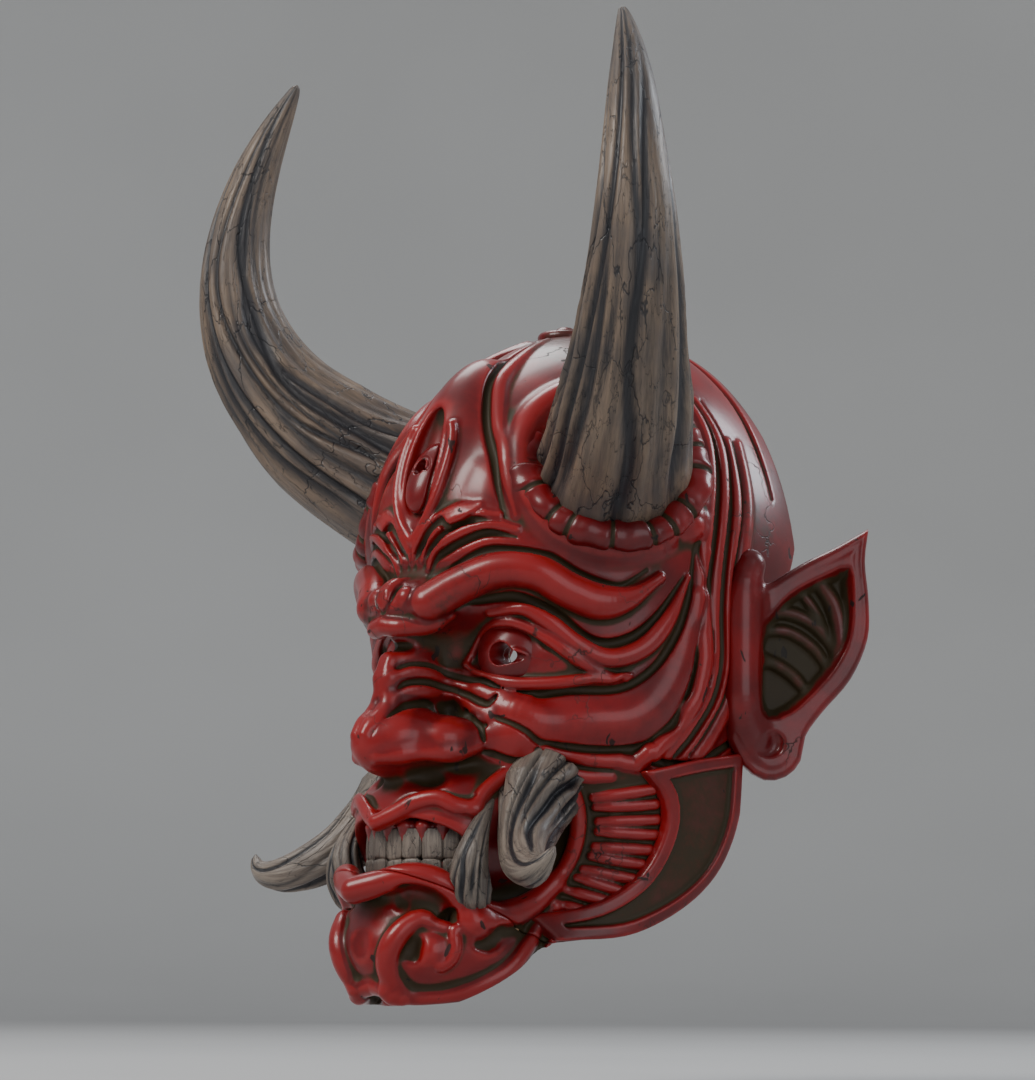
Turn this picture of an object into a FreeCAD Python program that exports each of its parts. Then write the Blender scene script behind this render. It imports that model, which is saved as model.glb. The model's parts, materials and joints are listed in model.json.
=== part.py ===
"""Carved and lacquered demon mask: a wooden face shell with fitted horns, ears, tusks, teeth and hardware.

Frame, in millimetres: +Z is up, the face looks along -Y, and +X is the mask's own left side.
The origin is the centre of the wall nail's hole, in the hanger bracket inside the crown.
"""
import FreeCAD, Part
import math
import os

import Sketcher
from FreeCAD import Placement, Rotation, Vector

OUT_DIR = "parts"
X_AXIS = Vector(1, 0, 0)
Y_AXIS = Vector(0, 1, 0)
Z_AXIS = Vector(0, 0, 1)

# Driving dimensions. Each one is a cell of the document's spreadsheet.
DIMENSIONS = {
    "wall": 6.0,
    "dome_half_width": 83.0,
    "dome_half_depth": 106.0,
    "dome_half_height": 106.0,
    "dome_centre_depth": -10.0,
    "dome_centre_height": -90.0,
    "plate_thickness": 3.5,
    "plate_gap": 0.3,
    "pad_gap": 0.3,
    "pad_thickness": 10.0,
    "horn_root_radius": 32.8,
    "horn_socket_radius": 33.4,
    "horn_boss_radius": 20.0,
    "horn_boss_height": 8.0,
    "collar_ring_radius": 34.0,
    "collar_bead_radius": 6.5,
    "stud_radius": 4.0,
    "stud_length": 64.0,
    "stud_tail": 19.0,
    "stud_clearance": 0.05,
    "washer_radius": 15.0,
    "washer_thickness": 2.0,
    "nut_across_flats": 13.0,
    "nut_height": 6.5,
    "ear_thickness": 11.0,
    "ear_hollow_depth": 5.5,
    "ear_foot_thickness": 9.0,
    "eye_radius": 14.0,
    "eye_thickness": 5.0,
    "eye_dome": 3.0,
    "pupil_radius": 4.5,
    "sight_bore_radius": 9.0,
    "eye_boss_radius": 18.0,
    "third_eye_wide": 10.0,
    "third_eye_deep": 6.5,
    "third_eye_tall": 17.0,
    "crown_boss_radius": 7.0,
    "arch_radius": 30.0,
    "arch_centre_depth": -98.0,
    "tooth_width": 7.0,
    "tooth_depth": 4.0,
    "tooth_gap": 1.4,
    "tooth_length": 12.0,
    "tooth_tip_inset": 0.5,
    "gum_height": 7.0,
    "gum_thickness": 6.0,
    "mouth_half_width": 33.0,
    "mouth_top": -194.0,
    "mouth_bottom": -222.0,
    "lower_tusk_radius": 9.0,
    "curled_tusk_radius": 19.5,
    "screw_head_radius": 3.5,
    "screw_head_height": 2.2,
    "screw_shank_radius": 1.75,
    "pin_radius": 1.5,
    "dowel_radius": 1.5,
    "drill_clearance": 0.05,
    "nail_hole_radius": 4.0,
    "sheet_metal": 2.0,
    "bracket_half_width": 13.0,
    "bracket_flange": 20.0,
    "bracket_top": 8.0,
    "bracket_drop": 16.0,
    "clip_barrel_radius": 2.5,
    "clip_barrel_length": 12.0,
    "clip_plate_height": 22.0,
    "ring_wire_radius": 1.25,
    "ring_half_width": 9.0,
    "ring_leg": 5.0,
    "ring_clearance": 0.06,
}

# Latitudes of the dome's cross sections, in degrees above its widest level.
DOME_LATITUDES = (86.0, 75.0, 60.0, 41.0, 22.0, 0.0)

# Cross sections of the lower face: height, half width, centre depth and half depth.
FACE_LEVELS = {
    "brow": (-130.0, 84.0, -10.0, 93.0),
    "cheek": (-160.0, 80.0, -18.0, 84.0),
    "mouth": (-190.0, 78.0, -8.0, 80.0),
    "jaw": (-215.0, 72.5, -14.0, 74.0),
    "jaw_corner": (-240.0, 66.0, -27.0, 67.0),
    "under_chin": (-262.0, 48.0, -66.0, 50.0),
    "chin_end": (-280.0, 30.0, -88.0, 46.0),
}

# Carved masses that stand on the face: centre, then half width, half depth and half height.
FACE_MASSES = {
    "nose": ((0, -129, -165), (17, 16, 21)),
    "nose_bridge": ((0, -116, -140), (13, 17, 24)),
    "brow_block": ((0, -113, -110), (20, 17, 14)),
    "muzzle": ((0, -93, -200), (41, 41, 34)),
    "chin": ((0, -102, -245), (41, 47, 32)),
}
PAIRED_MASSES = {
    "nose_wing": ((16, -119, -170), (12, 13, 10)),
    "brow_roll": ((34, -99, -110), (28, 14, 10)),
    "cheekbone": ((50, -76, -150), (28, 14, 14)),
}

# Side view of the shell's rim, as (y, z), from the crown round the back of the ear to the chin joint.
RIM = (
    (-220, 60), (8, 60), (14, 10), (26, -30), (31, -78), (12, -115),
    (-8, -160), (-10, -200), (-22, -222), (-52, -239), (-79, -243),
)
CHIN_JOINT_REAR = (-79, -243)
CHIN_JOINT_FRONT = (-220, -177.5)
CHIN_BOTTOM = ((-220, -272), (-150, -272), (-114, -266.5))
JAW_PLATE_OUTLINE = (
    (-55, -174), (-45, -197), (-52, -217), (-69, -227.5), (-86, -231.5),
    (-79, -242), (-52, -238.5), (-22, -221.5), (-10, -200), (-9, -165), (-32, -168),
)

# Horn: control points of the centre line of the left one, and radii as shares of its root's.
HORN_CURVE = (
    Vector(59.8, -61.6, -51.5), Vector(104.9, -95.7, -22.1), Vector(158.2, -140.8, 20.2),
    Vector(102.1, -93.8, 120.5), Vector(99.4, -96.6, 127.0),
)
HORN_TAPER = (1.0, 0.92, 0.855, 0.74, 0.645, 0.55, 0.47, 0.385, 0.3, 0.205, 0.11, 0.03)

# Tusks: control points, and radii as shares of the largest.
LOWER_TUSK_CURVE = (
    Vector(33, -107, -233), Vector(38, -121, -221), Vector(41, -120, -200), Vector(34, -100, -183.5),
)
LOWER_TUSK_TAPER = (0.8, 0.97, 0.92, 0.78, 0.56, 0.32, 0.08)
CURLED_TUSK_CURVE = (
    Vector(42, -77, -175), Vector(43, -90, -190), Vector(54, -112, -216), Vector(84, -128, -224),
    Vector(90, -121, -206),
)
CURLED_TUSK_TAPER = (0.84, 0.9, 0.7, 0.56, 0.48, 0.38, 0.24, 0.06)

# Ear, in its own plane: along its width from the root, and the height in the part's frame.
EAR_ROOT = Vector(82, -8, 0)
EAR_FLARE = Vector(0.643, 0.766, 0)
EAR_OUTLINE = (
    (-6, -118), (2.5, -104), (9.5, -97), (24, -86), (38, -79), (52, -72.5), (51, -86), (52.5, -102),
    (52, -118), (44.5, -134.5), (33, -148), (26.5, -157), (24.5, -168), (18, -175), (9, -176),
    (-1, -170), (-6, -160),
)
EAR_HOLLOW = (
    (8, -113), (20, -98.5), (34, -91.5), (44.5, -87.5), (45.5, -102), (44.5, -118), (38, -130.5),
    (29, -141), (20, -149), (10, -152), (5, -143), (4.5, -127),
)
EAR_SCREW_HEIGHTS = (-98.0, -148.0)
EAR_SCREW_DEPTH = -9.0

EYE_CENTRE = Vector(35, -94.9, -127)
EYE_AXIS = Vector(0.482, -0.876, 0)
EYE_SINK = 7.0
SIGHT_LINE = Vector(32, 0, -127)

THIRD_EYE_CENTRE = Vector(0, -105, -55)
CROWN_BOSS_CENTRE = Vector(0, -30, 10)

TEETH_PER_ROW = 8
UPPER_TOOTH_ROOT = -197.6
LOWER_TOOTH_ROOT = -221.9
GUM_SPAN = 122.0

JAW_PIN_PLACES = ((-22, -178), (-22, -205), (-45, -225))
JAW_PIN_INNER = (72.7, 68.5, 59.6)
JAW_PIN_LENGTH = 7.5
CHIN_DOWEL_PLACES = (Vector(36.3, -91, -237.4), Vector(-36.3, -91, -237.4))
CHIN_DOWEL_LENGTH = 16.0

CLIP_FACE = 76.0
CLIP_CENTRE = Vector(CLIP_FACE, -4, -116)

doc = FreeCAD.newDocument("DemonMask")


def make_sheet(values):
    """Put every driving dimension in the spreadsheet under its own alias."""
    cells = doc.addObject("Spreadsheet::Sheet", "Dimensions")
    for row, (alias, value) in enumerate(values.items(), start=1):
        cells.set(f"A{row}", alias)
        cells.set(f"B{row}", str(value))
        cells.setAlias(f"B{row}", alias)
    doc.recompute()
    return cells


def all_dimensions():
    """The single dimensions, with one more per size of each level and each carved mass."""
    values = dict(DIMENSIONS)
    for name, (height, width, centre, depth) in FACE_LEVELS.items():
        values[f"{name}_level"] = height
        values[f"{name}_half_width"] = width
        values[f"{name}_centre"] = centre
        values[f"{name}_half_depth"] = depth
    for name, (_, radii) in {**FACE_MASSES, **PAIRED_MASSES}.items():
        for axis, radius in zip(("wide", "deep", "tall"), radii):
            values[f"{name}_{axis}"] = radius
    return values


sheet = make_sheet(all_dimensions())


def cell(alias):
    return f"Dimensions.{alias}"


def value(alias):
    return float(sheet.get(alias))


def primitive(kind, name, placement=None, **sizes):
    """One Part primitive whose sizes follow expressions."""
    shape = doc.addObject(kind, name)
    for size, expression in sizes.items():
        shape.setExpression(size, expression)
    if placement is not None:
        shape.Placement = placement
    return shape


def along(direction):
    """The rotation that takes +Z to a direction."""
    return Rotation(Z_AXIS, direction)


def ring_rotation(direction):
    """The rotation of a cross section square to a direction, its seam always towards +Y."""
    return Rotation(Vector(), Y_AXIS, direction, "ZYX")


def cylinder(name, start, direction, radius, height):
    place = Placement(start, along(direction))
    return primitive("Part::Cylinder", name, place, Radius=radius, Height=height)


def block(name, low, high):
    """A box between two corners."""
    solid = doc.addObject("Part::Box", name)
    solid.Length = high.x - low.x
    solid.Width = high.y - low.y
    solid.Height = high.z - low.z
    solid.Placement = Placement(low, Rotation())
    return solid


def ellipsoid(name, centre, size_name, growth="0"):
    """A carved mass from the sheet, swollen or shrunk by a growth."""
    return primitive(
        "Part::Ellipsoid", name, Placement(Vector(*centre), Rotation()),
        Radius2=f"{cell(size_name + '_wide')} + {growth}",
        Radius3=f"{cell(size_name + '_deep')} + {growth}",
        Radius1=f"{cell(size_name + '_tall')} + {growth}",
    )


def fuse(name, solids):
    union = doc.addObject("Part::MultiFuse", name)
    union.Shapes = solids
    return union


def fuse_in_turn(name, solids):
    """A union made one solid at a time, which suits masses that meet at shallow angles."""
    union = solids[0]
    last = len(solids) - 1
    for number, solid in enumerate(solids[1:], start=1):
        step = doc.addObject("Part::Fuse", name if number == last else f"{name}_{number}")
        step.Base = union
        step.Tool = solid
        union = step
    return union


def cut(name, base, tool):
    difference = doc.addObject("Part::Cut", name)
    difference.Base = base
    difference.Tool = tool
    return difference


def common(name, base, tool):
    overlap = doc.addObject("Part::Common", name)
    overlap.Base = base
    overlap.Tool = tool
    return overlap


def group(name, solids):
    bundle = doc.addObject("Part::Compound", name)
    bundle.Links = solids
    return bundle


def mirrored(name, source):
    """The same piece on the mask's other side."""
    twin = doc.addObject("Part::Mirroring", name)
    twin.Source = source
    twin.Normal = X_AXIS
    return twin


def closed_sketch(owner, name, points):
    """A closed polyline in a new sketch, its corners joined."""
    outline = owner("Sketcher::SketchObject", name)
    add_polyline(outline, points)
    return outline


def add_polyline(outline, points):
    corners = [Vector(u, v, 0) for u, v in points]
    first = outline.GeometryCount
    count = len(corners)
    for index, corner in enumerate(corners):
        outline.addGeometry(Part.LineSegment(corner, corners[(index + 1) % count]))
    for index in range(count):
        here = first + index
        following = first + (index + 1) % count
        outline.addConstraint(Sketcher.Constraint("Coincident", here, 2, following, 1))


def side_prism(name, points, half_width=160.0):
    """A side-view outline in (y, z), drawn out across the mask."""
    outline = closed_sketch(doc.addObject, f"{name}_outline", points)
    outline.Placement = Placement(Vector(), Rotation(Y_AXIS, Z_AXIS, X_AXIS, "ZXY"))
    prism = doc.addObject("Part::Extrusion", name)
    prism.Base = outline
    prism.DirMode = "Custom"
    prism.Dir = X_AXIS
    prism.LengthFwd = 2 * half_width
    prism.Symmetric = True
    prism.Solid = True
    return prism


def oval(name, half_width, half_depth, centre_depth, height):
    """One horizontal cross section, its long axis front to back."""
    section = primitive(
        "Part::Ellipse", name, Placement(Vector(), Rotation(Z_AXIS, 90)),
        MajorRadius=half_depth, MinorRadius=half_width,
    )
    section.setExpression("Placement.Base.y", centre_depth)
    section.setExpression("Placement.Base.z", height)
    return section


def head_skin(name, growth, foot="0"):
    """The head's outer surface swollen by a growth, as a solid. The foot lowers its last section."""
    sections = []
    for number, latitude in enumerate(DOME_LATITUDES):
        across = round(math.cos(math.radians(latitude)), 5)
        up = round(math.sin(math.radians(latitude)), 5)
        sections.append(oval(
            f"{name}_dome_{number}",
            f"({cell('dome_half_width')} + {growth}) * {across}",
            f"({cell('dome_half_depth')} + {growth}) * {across}",
            cell("dome_centre_depth"),
            f"{cell('dome_centre_height')} + ({cell('dome_half_height')} + {growth}) * {up}",
        ))
    for level in FACE_LEVELS:
        drop = foot if level == "chin_end" else "0"
        sections.append(oval(
            f"{name}_{level}",
            f"{cell(level + '_half_width')} + {growth}",
            f"{cell(level + '_half_depth')} + {growth}",
            cell(level + "_centre"),
            f"{cell(level + '_level')} - {drop}",
        ))
    skin = doc.addObject("Part::Loft", name)
    skin.Sections = sections
    skin.Solid = True
    return skin


def curve_point(points, share):
    """A point of a Bezier curve."""
    level = list(points)
    while len(level) > 1:
        level = [a * (1 - share) + b * share for a, b in zip(level, level[1:])]
    return level[0]


def curve_direction(points, share):
    step = 0.002
    ahead = curve_point(points, min(1.0, share + step))
    behind = curve_point(points, max(0.0, share - step))
    return (ahead - behind).normalize()


def tapered(name, points, taper, radius_name):
    """A curved, tapering solid: circles set square to a centre line and lofted."""
    rings = []
    last = len(taper) - 1
    for number, share in enumerate(taper):
        place = number / last
        ring = primitive(
            "Part::Circle", f"{name}_ring_{number}",
            Placement(curve_point(points, place), ring_rotation(curve_direction(points, place))),
            Radius=f"{cell(radius_name)} * {share}",
        )
        rings.append(ring)
    solid = doc.addObject("Part::Loft", name)
    solid.Sections = rings
    solid.Solid = True
    return solid


def body(name):
    solid = doc.addObject("PartDesign::Body", name)
    solid.Label = name
    return solid


def body_sketch(owner, name, role="XY_Plane"):
    """An empty sketch on one of a body's own origin planes."""
    outline = owner.newObject("Sketcher::SketchObject", name)
    plane = next(feature for feature in owner.Origin.OriginFeatures if feature.Role == role)
    outline.AttachmentSupport = [(plane, "")]
    outline.MapMode = "FlatFace"
    return outline


def add_circle(outline, radius, centre=(0, 0)):
    """A circle whose radius follows an expression."""
    index = outline.addGeometry(Part.Circle(Vector(centre[0], centre[1], 0), Z_AXIS, 1.0))
    constraint = outline.addConstraint(Sketcher.Constraint("Radius", index, 1.0))
    outline.setExpression(f"Constraints[{constraint}]", radius)


def add_pad(owner, outline, length, symmetric=False):
    pad = owner.newObject("PartDesign::Pad", f"{owner.Name}_pad")
    pad.Profile = outline
    pad.SideType = "Symmetric" if symmetric else "One side"
    pad.setExpression("Length", length)
    doc.recompute()
    return pad


def add_pocket(owner, outline, length, symmetric=False, reverse=False):
    """Cut an outline into a body, and stop if it removed nothing."""
    before = owner.Shape.Volume
    pocket = owner.newObject("PartDesign::Pocket", f"{outline.Name}_cut")
    pocket.Profile = outline
    pocket.SideType = "Symmetric" if symmetric else "One side"
    pocket.Reversed = reverse
    pocket.setExpression("Length", length)
    doc.recompute()
    if owner.Shape.Volume >= before:
        raise RuntimeError(f"{outline.Name} cuts nothing")
    return pocket


def screw(name, start, direction, length):
    """A countersunk wood screw: its head's flat face at the start, pointing along the direction."""
    head = primitive(
        "Part::Cone", f"{name}_head", Placement(start, along(direction)),
        Radius1=cell("screw_head_radius"), Radius2=cell("screw_shank_radius"),
        Height=cell("screw_head_height"),
    )
    shank = cylinder(f"{name}_shank", start, direction, cell("screw_shank_radius"), str(length))
    return fuse(name, [head, shank])


def screw_drill(name, start, direction, length):
    """The countersunk hole for that screw, a little larger all over."""
    gap = cell("drill_clearance")
    head = primitive(
        "Part::Cone", f"{name}_sink", Placement(start, along(direction)),
        Radius1=f"{cell('screw_head_radius')} + {gap}", Radius2=f"{cell('screw_shank_radius')} + {gap}",
        Height=cell("screw_head_height"),
    )
    shank_radius = f"{cell('screw_shank_radius')} + {gap}"
    shank = cylinder(f"{name}_hole", start, direction, shank_radius, f"{length} + {gap}")
    return fuse(name, [head, shank])


# ---------------------------------------------------------------- horns and their fixings

def horn_axis():
    return curve_direction(HORN_CURVE, 0.0)


def make_horn(outer):
    """The left horn with its stud's bore, and the gnarled collar round its root."""
    root = HORN_CURVE[0]
    axis = horn_axis()
    solid = tapered("horn_left_solid", HORN_CURVE, HORN_TAPER, "horn_root_radius")
    bore_radius = f"{cell('stud_radius')} + {cell('stud_clearance')}"
    bore_depth = f"{cell('stud_length')} - {cell('stud_tail')} + {cell('stud_clearance')}"
    bore = cylinder("horn_bore", root, axis, bore_radius, bore_depth)
    horn = cut("horn_left", solid, bore)
    collar_height = 3.0
    bead = primitive(
        "Part::Torus", "collar_bead", Placement(root + axis * collar_height, along(axis)),
        Radius1=cell("collar_ring_radius"), Radius2=cell("collar_bead_radius"),
    )
    collar = cut("horn_collar_left", bead, fuse("collar_seat", [solid, outer]))
    return horn, collar


def make_horn_socket(name):
    """The flat-bottomed seat for a horn's root."""
    return cylinder(name, HORN_CURVE[0], horn_axis(), cell("horn_socket_radius"), "60")


def make_horn_boss():
    """The thickening inside the shell that a horn's washer bears on."""
    return cylinder(
        "horn_boss", HORN_CURVE[0], horn_axis() * -1, cell("horn_boss_radius"), cell("horn_boss_height"))


def make_stud_hole():
    radius = f"{cell('stud_radius')} + {cell('stud_clearance')}"
    return cylinder("stud_hole", HORN_CURVE[0], horn_axis() * -1, radius, "40")


def make_horn_fixings():
    """Stud, washer and nut behind the left horn."""
    root = HORN_CURVE[0]
    axis = horn_axis()
    tail = root - axis * value("stud_tail")
    stud = cylinder("stud_left", tail, axis, cell("stud_radius"), cell("stud_length"))
    seat = root - axis * (value("horn_boss_height") + value("washer_thickness"))

    washer = body("washer_left")
    outline = body_sketch(washer, "washer_outline")
    add_circle(outline, cell("washer_radius"))
    add_circle(outline, f"{cell('stud_radius')} + 0.3")
    add_pad(washer, outline, cell("washer_thickness"))
    washer.Placement = Placement(seat, along(axis))

    nut = body("nut_left")
    outline = body_sketch(nut, "nut_outline")
    corner_radius = value("nut_across_flats") / math.sqrt(3)
    corners = [
        (corner_radius * math.cos(math.radians(60 * k)), corner_radius * math.sin(math.radians(60 * k)))
        for k in range(6)
    ]
    add_polyline(outline, corners)
    add_circle(outline, f"{cell('stud_radius')} + {cell('stud_clearance')}")
    add_pad(nut, outline, cell("nut_height"))
    nut.Placement = Placement(seat - axis * value("nut_height"), along(axis))
    return stud, washer, nut


# ---------------------------------------------------------------- ears

def ear_rotation():
    normal = EAR_FLARE.cross(Z_AXIS)
    return Rotation(EAR_FLARE, Z_AXIS, normal, "ZXY")


def make_ear(outer, drills):
    """The left ear: a flared plate with a hollow, and a foot that screws to the head."""
    plate = body("ear_plate")
    outline = body_sketch(plate, "ear_outline")
    add_polyline(outline, EAR_OUTLINE)
    add_pad(plate, outline, cell("ear_thickness"))
    hollow = body_sketch(plate, "ear_hollow")
    hollow.setExpression("AttachmentOffset.Base.z", cell("ear_thickness"))
    add_polyline(hollow, EAR_HOLLOW)
    add_pocket(plate, hollow, cell("ear_hollow_depth"))
    normal = EAR_FLARE.cross(Z_AXIS)
    plate.Placement = Placement(EAR_ROOT - normal * (value("ear_thickness") / 2), ear_rotation())
    foot_out = 83.0 + value("ear_foot_thickness") - 2.0
    foot = block("ear_foot", Vector(76, -17, -158), Vector(foot_out, -2, -90))
    return cut("ear_left", fuse("ear_whole", [plate, foot]), fuse("ear_seat", [outer, drills]))


def ear_screw_starts():
    inner_face = (76.6, 75.6)
    return [
        Vector(across, EAR_SCREW_DEPTH, height) for across, height in zip(inner_face, EAR_SCREW_HEIGHTS)
    ]


# ---------------------------------------------------------------- eyes

def make_eye():
    """The left eye: a domed disc with the sight hole cut through it along Y."""
    disc = cylinder(
        "eye_disc", EYE_CENTRE - EYE_AXIS * EYE_SINK, EYE_AXIS, cell("eye_radius"), cell("eye_thickness"))
    dome_radius = 30.0
    ball = doc.addObject("Part::Sphere", "eye_ball")
    ball.Radius = dome_radius
    ball.Placement = Placement(EYE_CENTRE + EYE_AXIS * (value("eye_dome") - 2.0 - dome_radius), Rotation())
    core_length = f"{cell('eye_thickness')} + 20"
    core = cylinder("eye_core", EYE_CENTRE - EYE_AXIS * EYE_SINK, EYE_AXIS, cell("eye_radius"), core_length)
    dome = common("eye_dome", core, ball)
    return cut("eye_left", fuse("eye_whole", [disc, dome]), make_sight_hole())


def make_sight_hole():
    start = Vector(SIGHT_LINE.x, -125, SIGHT_LINE.z)
    return cylinder("sight_hole", start, Y_AXIS, cell("pupil_radius"), "60")


def make_eye_boss():
    """The ring inside the shell that an eye disc is glued against."""
    return cylinder("eye_boss", EYE_CENTRE - EYE_AXIS * 1.0, EYE_AXIS * -1, cell("eye_boss_radius"), "10")


def make_eye_bores():
    pocket = cylinder("eye_pocket", EYE_CENTRE - EYE_AXIS * EYE_SINK, EYE_AXIS, cell("eye_radius"), "60")
    sight = cylinder("sight_bore", EYE_CENTRE - EYE_AXIS * 14.0, EYE_AXIS, cell("sight_bore_radius"), "40")
    return [pocket, sight]


# ---------------------------------------------------------------- mouth

def make_mouth_opening():
    half = value("mouth_half_width")
    return block(
        "mouth_opening", Vector(-half, -170, value("mouth_bottom")), Vector(half, -97, value("mouth_top")))


def make_teeth(name, root_height, downward):
    """A row of tapered teeth set round the dental arch, each its own solid."""
    width = value("tooth_width")
    depth = value("tooth_depth")
    length = value("tooth_length")
    inset = value("tooth_tip_inset")
    pitch = math.degrees((width + value("tooth_gap")) / value("arch_radius"))
    teeth = []
    for number in range(TEETH_PER_ROW):
        tooth = doc.addObject("Part::Wedge", f"{name}_{number}")
        tooth.Xmin, tooth.Xmax = -width / 2, width / 2
        tooth.Zmin, tooth.Zmax = -depth, 0
        tooth.Ymin, tooth.Ymax = 0, length
        tooth.X2min, tooth.X2max = inset - width / 2, width / 2 - inset
        tooth.Z2min, tooth.Z2max = inset - depth, -inset
        turn = (number - (TEETH_PER_ROW - 1) / 2) * pitch
        growing = Rotation(X_AXIS, -90 if downward else 90)
        if downward:
            growing = growing.multiply(Rotation(Y_AXIS, 180))
        spin = Rotation(Z_AXIS, turn)
        outward = spin.multVec(Vector(0, -1, 0))
        # The wedge's thick side starts at its outer face, so the face lies on the arch.
        lip = outward * value("arch_radius")
        seat = Vector(0, value("arch_centre_depth"), root_height) + lip
        tooth.Placement = Placement(seat, spin.multiply(growing))
        teeth.append(tooth)
    return teeth


def make_gum(name, base_height, teeth):
    """A bar of gum behind and between the teeth, following the arch."""
    middle = Vector(0, value("arch_centre_depth"), base_height)
    arch = Placement(middle, Rotation(Z_AXIS, 270 - GUM_SPAN / 2))
    outer_radius = f"{cell('arch_radius')} - 1.2"
    rim = primitive("Part::Cylinder", f"{name}_rim", arch, Radius=outer_radius, Height=cell("gum_height"))
    rim.Angle = GUM_SPAN
    throat = primitive(
        "Part::Cylinder", f"{name}_throat", arch,
        Radius=f"{cell('arch_radius')} - 1.2 - {cell('gum_thickness')}", Height=cell("gum_height"))
    bar = cut(f"{name}_bar", rim, throat)
    return cut(name, bar, group(f"{name}_sockets", teeth))


# ---------------------------------------------------------------- hanger, strap clips and rings

def bracket_screw_starts():
    bottom = value("bracket_top") - value("sheet_metal")
    return [Vector(side * 8.0, -12.0, bottom) for side in (-1, 1)]


def make_hanger():
    """A bent steel angle: its flange screws up into the crown, its web has the nail hole."""
    bracket = body("hanger_bracket")
    outline = body_sketch(bracket, "bracket_profile", "YZ_Plane")
    metal = value("sheet_metal")
    top = value("bracket_top")
    web_rear = metal / 2
    web_front = -metal / 2
    bottom = top - value("bracket_drop")
    front = web_rear - value("bracket_flange")
    add_polyline(outline, [
        (web_rear, bottom), (web_rear, top), (front, top), (front, top - metal), (web_front, top - metal),
        (web_front, bottom),
    ])
    add_pad(bracket, outline, f"2 * {cell('bracket_half_width')}", symmetric=True)
    nail = body_sketch(bracket, "nail_hole", "XZ_Plane")
    add_circle(nail, cell("nail_hole_radius"))
    add_pocket(bracket, nail, f"4 * {cell('sheet_metal')}", symmetric=True)
    return bracket


def make_strap_clip():
    """The left clip: a plate with a barrel for the ring's bar, built about the barrel's centre."""
    clip = body("clip_plate")
    radius = value("clip_barrel_radius")
    metal = value("sheet_metal")
    half_height = value("clip_plate_height") / 2
    plate = body_sketch(clip, "clip_profile", "XZ_Plane")
    add_polyline(plate, [
        (radius, -half_height), (radius + metal, -half_height), (radius + metal, half_height),
        (radius, half_height), (radius, radius), (0, radius), (0, -radius), (radius, -radius),
    ])
    add_pad(clip, plate, cell("clip_barrel_length"), symmetric=True)
    centre = clip_barrel_centre()
    clip.Placement = Placement(centre, Rotation())
    half = value("clip_barrel_length") / 2
    start = centre - Y_AXIS * half
    barrel = cylinder("clip_barrel", start, Y_AXIS, cell("clip_barrel_radius"), cell("clip_barrel_length"))
    bore_radius = f"{cell('ring_wire_radius')} + {cell('ring_clearance')}"
    bore = cylinder("clip_bore", start - Y_AXIS, Y_AXIS, bore_radius, f"{cell('clip_barrel_length')} + 2")
    return fuse("clip_body", [clip, barrel]), bore


def clip_barrel_centre():
    return CLIP_CENTRE - X_AXIS * (value("clip_barrel_radius") + value("sheet_metal"))


def clip_screw_starts():
    reach = value("clip_plate_height") / 2 - 3.8
    inner_face = clip_barrel_centre().x + value("clip_barrel_radius")
    return [Vector(inner_face, CLIP_CENTRE.y, CLIP_CENTRE.z + side * reach) for side in (-1, 1)]


def make_strap_ring():
    """The left D-ring, hanging: a straight bar in the barrel, two legs and a half-round bow."""
    centre = clip_barrel_centre()
    half = value("ring_half_width")
    leg = value("ring_leg")
    wire = cell("ring_wire_radius")
    bar = cylinder("ring_bar", centre - Y_AXIS * half, Y_AXIS, wire, f"2 * {cell('ring_half_width')}")
    pieces = [bar]
    for side in (-1, 1):
        corner = centre + Y_AXIS * (side * half)
        ball = primitive(
            "Part::Sphere", f"ring_corner_{side + 1}", Placement(corner, Rotation()), Radius=wire)
        pieces.append(ball)
        pieces.append(cylinder(f"ring_leg_{side + 1}", corner, Z_AXIS * -1, wire, cell("ring_leg")))
    bow_centre = centre - Z_AXIS * leg
    bow = primitive(
        "Part::Torus", "ring_bow", Placement(bow_centre, Rotation(Y_AXIS, Z_AXIS * -1, X_AXIS * -1, "ZXY")),
        Radius1=cell("ring_half_width"), Radius2=wire,
    )
    bow.Angle3 = 180
    pieces.append(bow)
    return fuse("strap_ring_left", pieces)


# ---------------------------------------------------------------- pads

def make_pad(name, low, high):
    """A soft pad that follows the shell's inner wall, bounded by a box."""
    near = head_skin(f"{name}_near", f"-({cell('wall')} + {cell('pad_gap')})")
    far = head_skin(
        f"{name}_far", f"-({cell('wall')} + {cell('pad_gap')} + {cell('pad_thickness')})")
    layer = cut(f"{name}_layer", near, far)
    return common(name, layer, block(f"{name}_bounds", low, high))


# ---------------------------------------------------------------- the whole mask

def both_sides(name, solid):
    """A solid and its mirror image, as tools for the shell."""
    return [solid, mirrored(f"{name}_right", solid)]


def shell_drills(starts, name, length):
    return group(name, [
        screw_drill(f"{name}_{number}", start, X_AXIS, length) for number, start in enumerate(starts)
    ])


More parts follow.
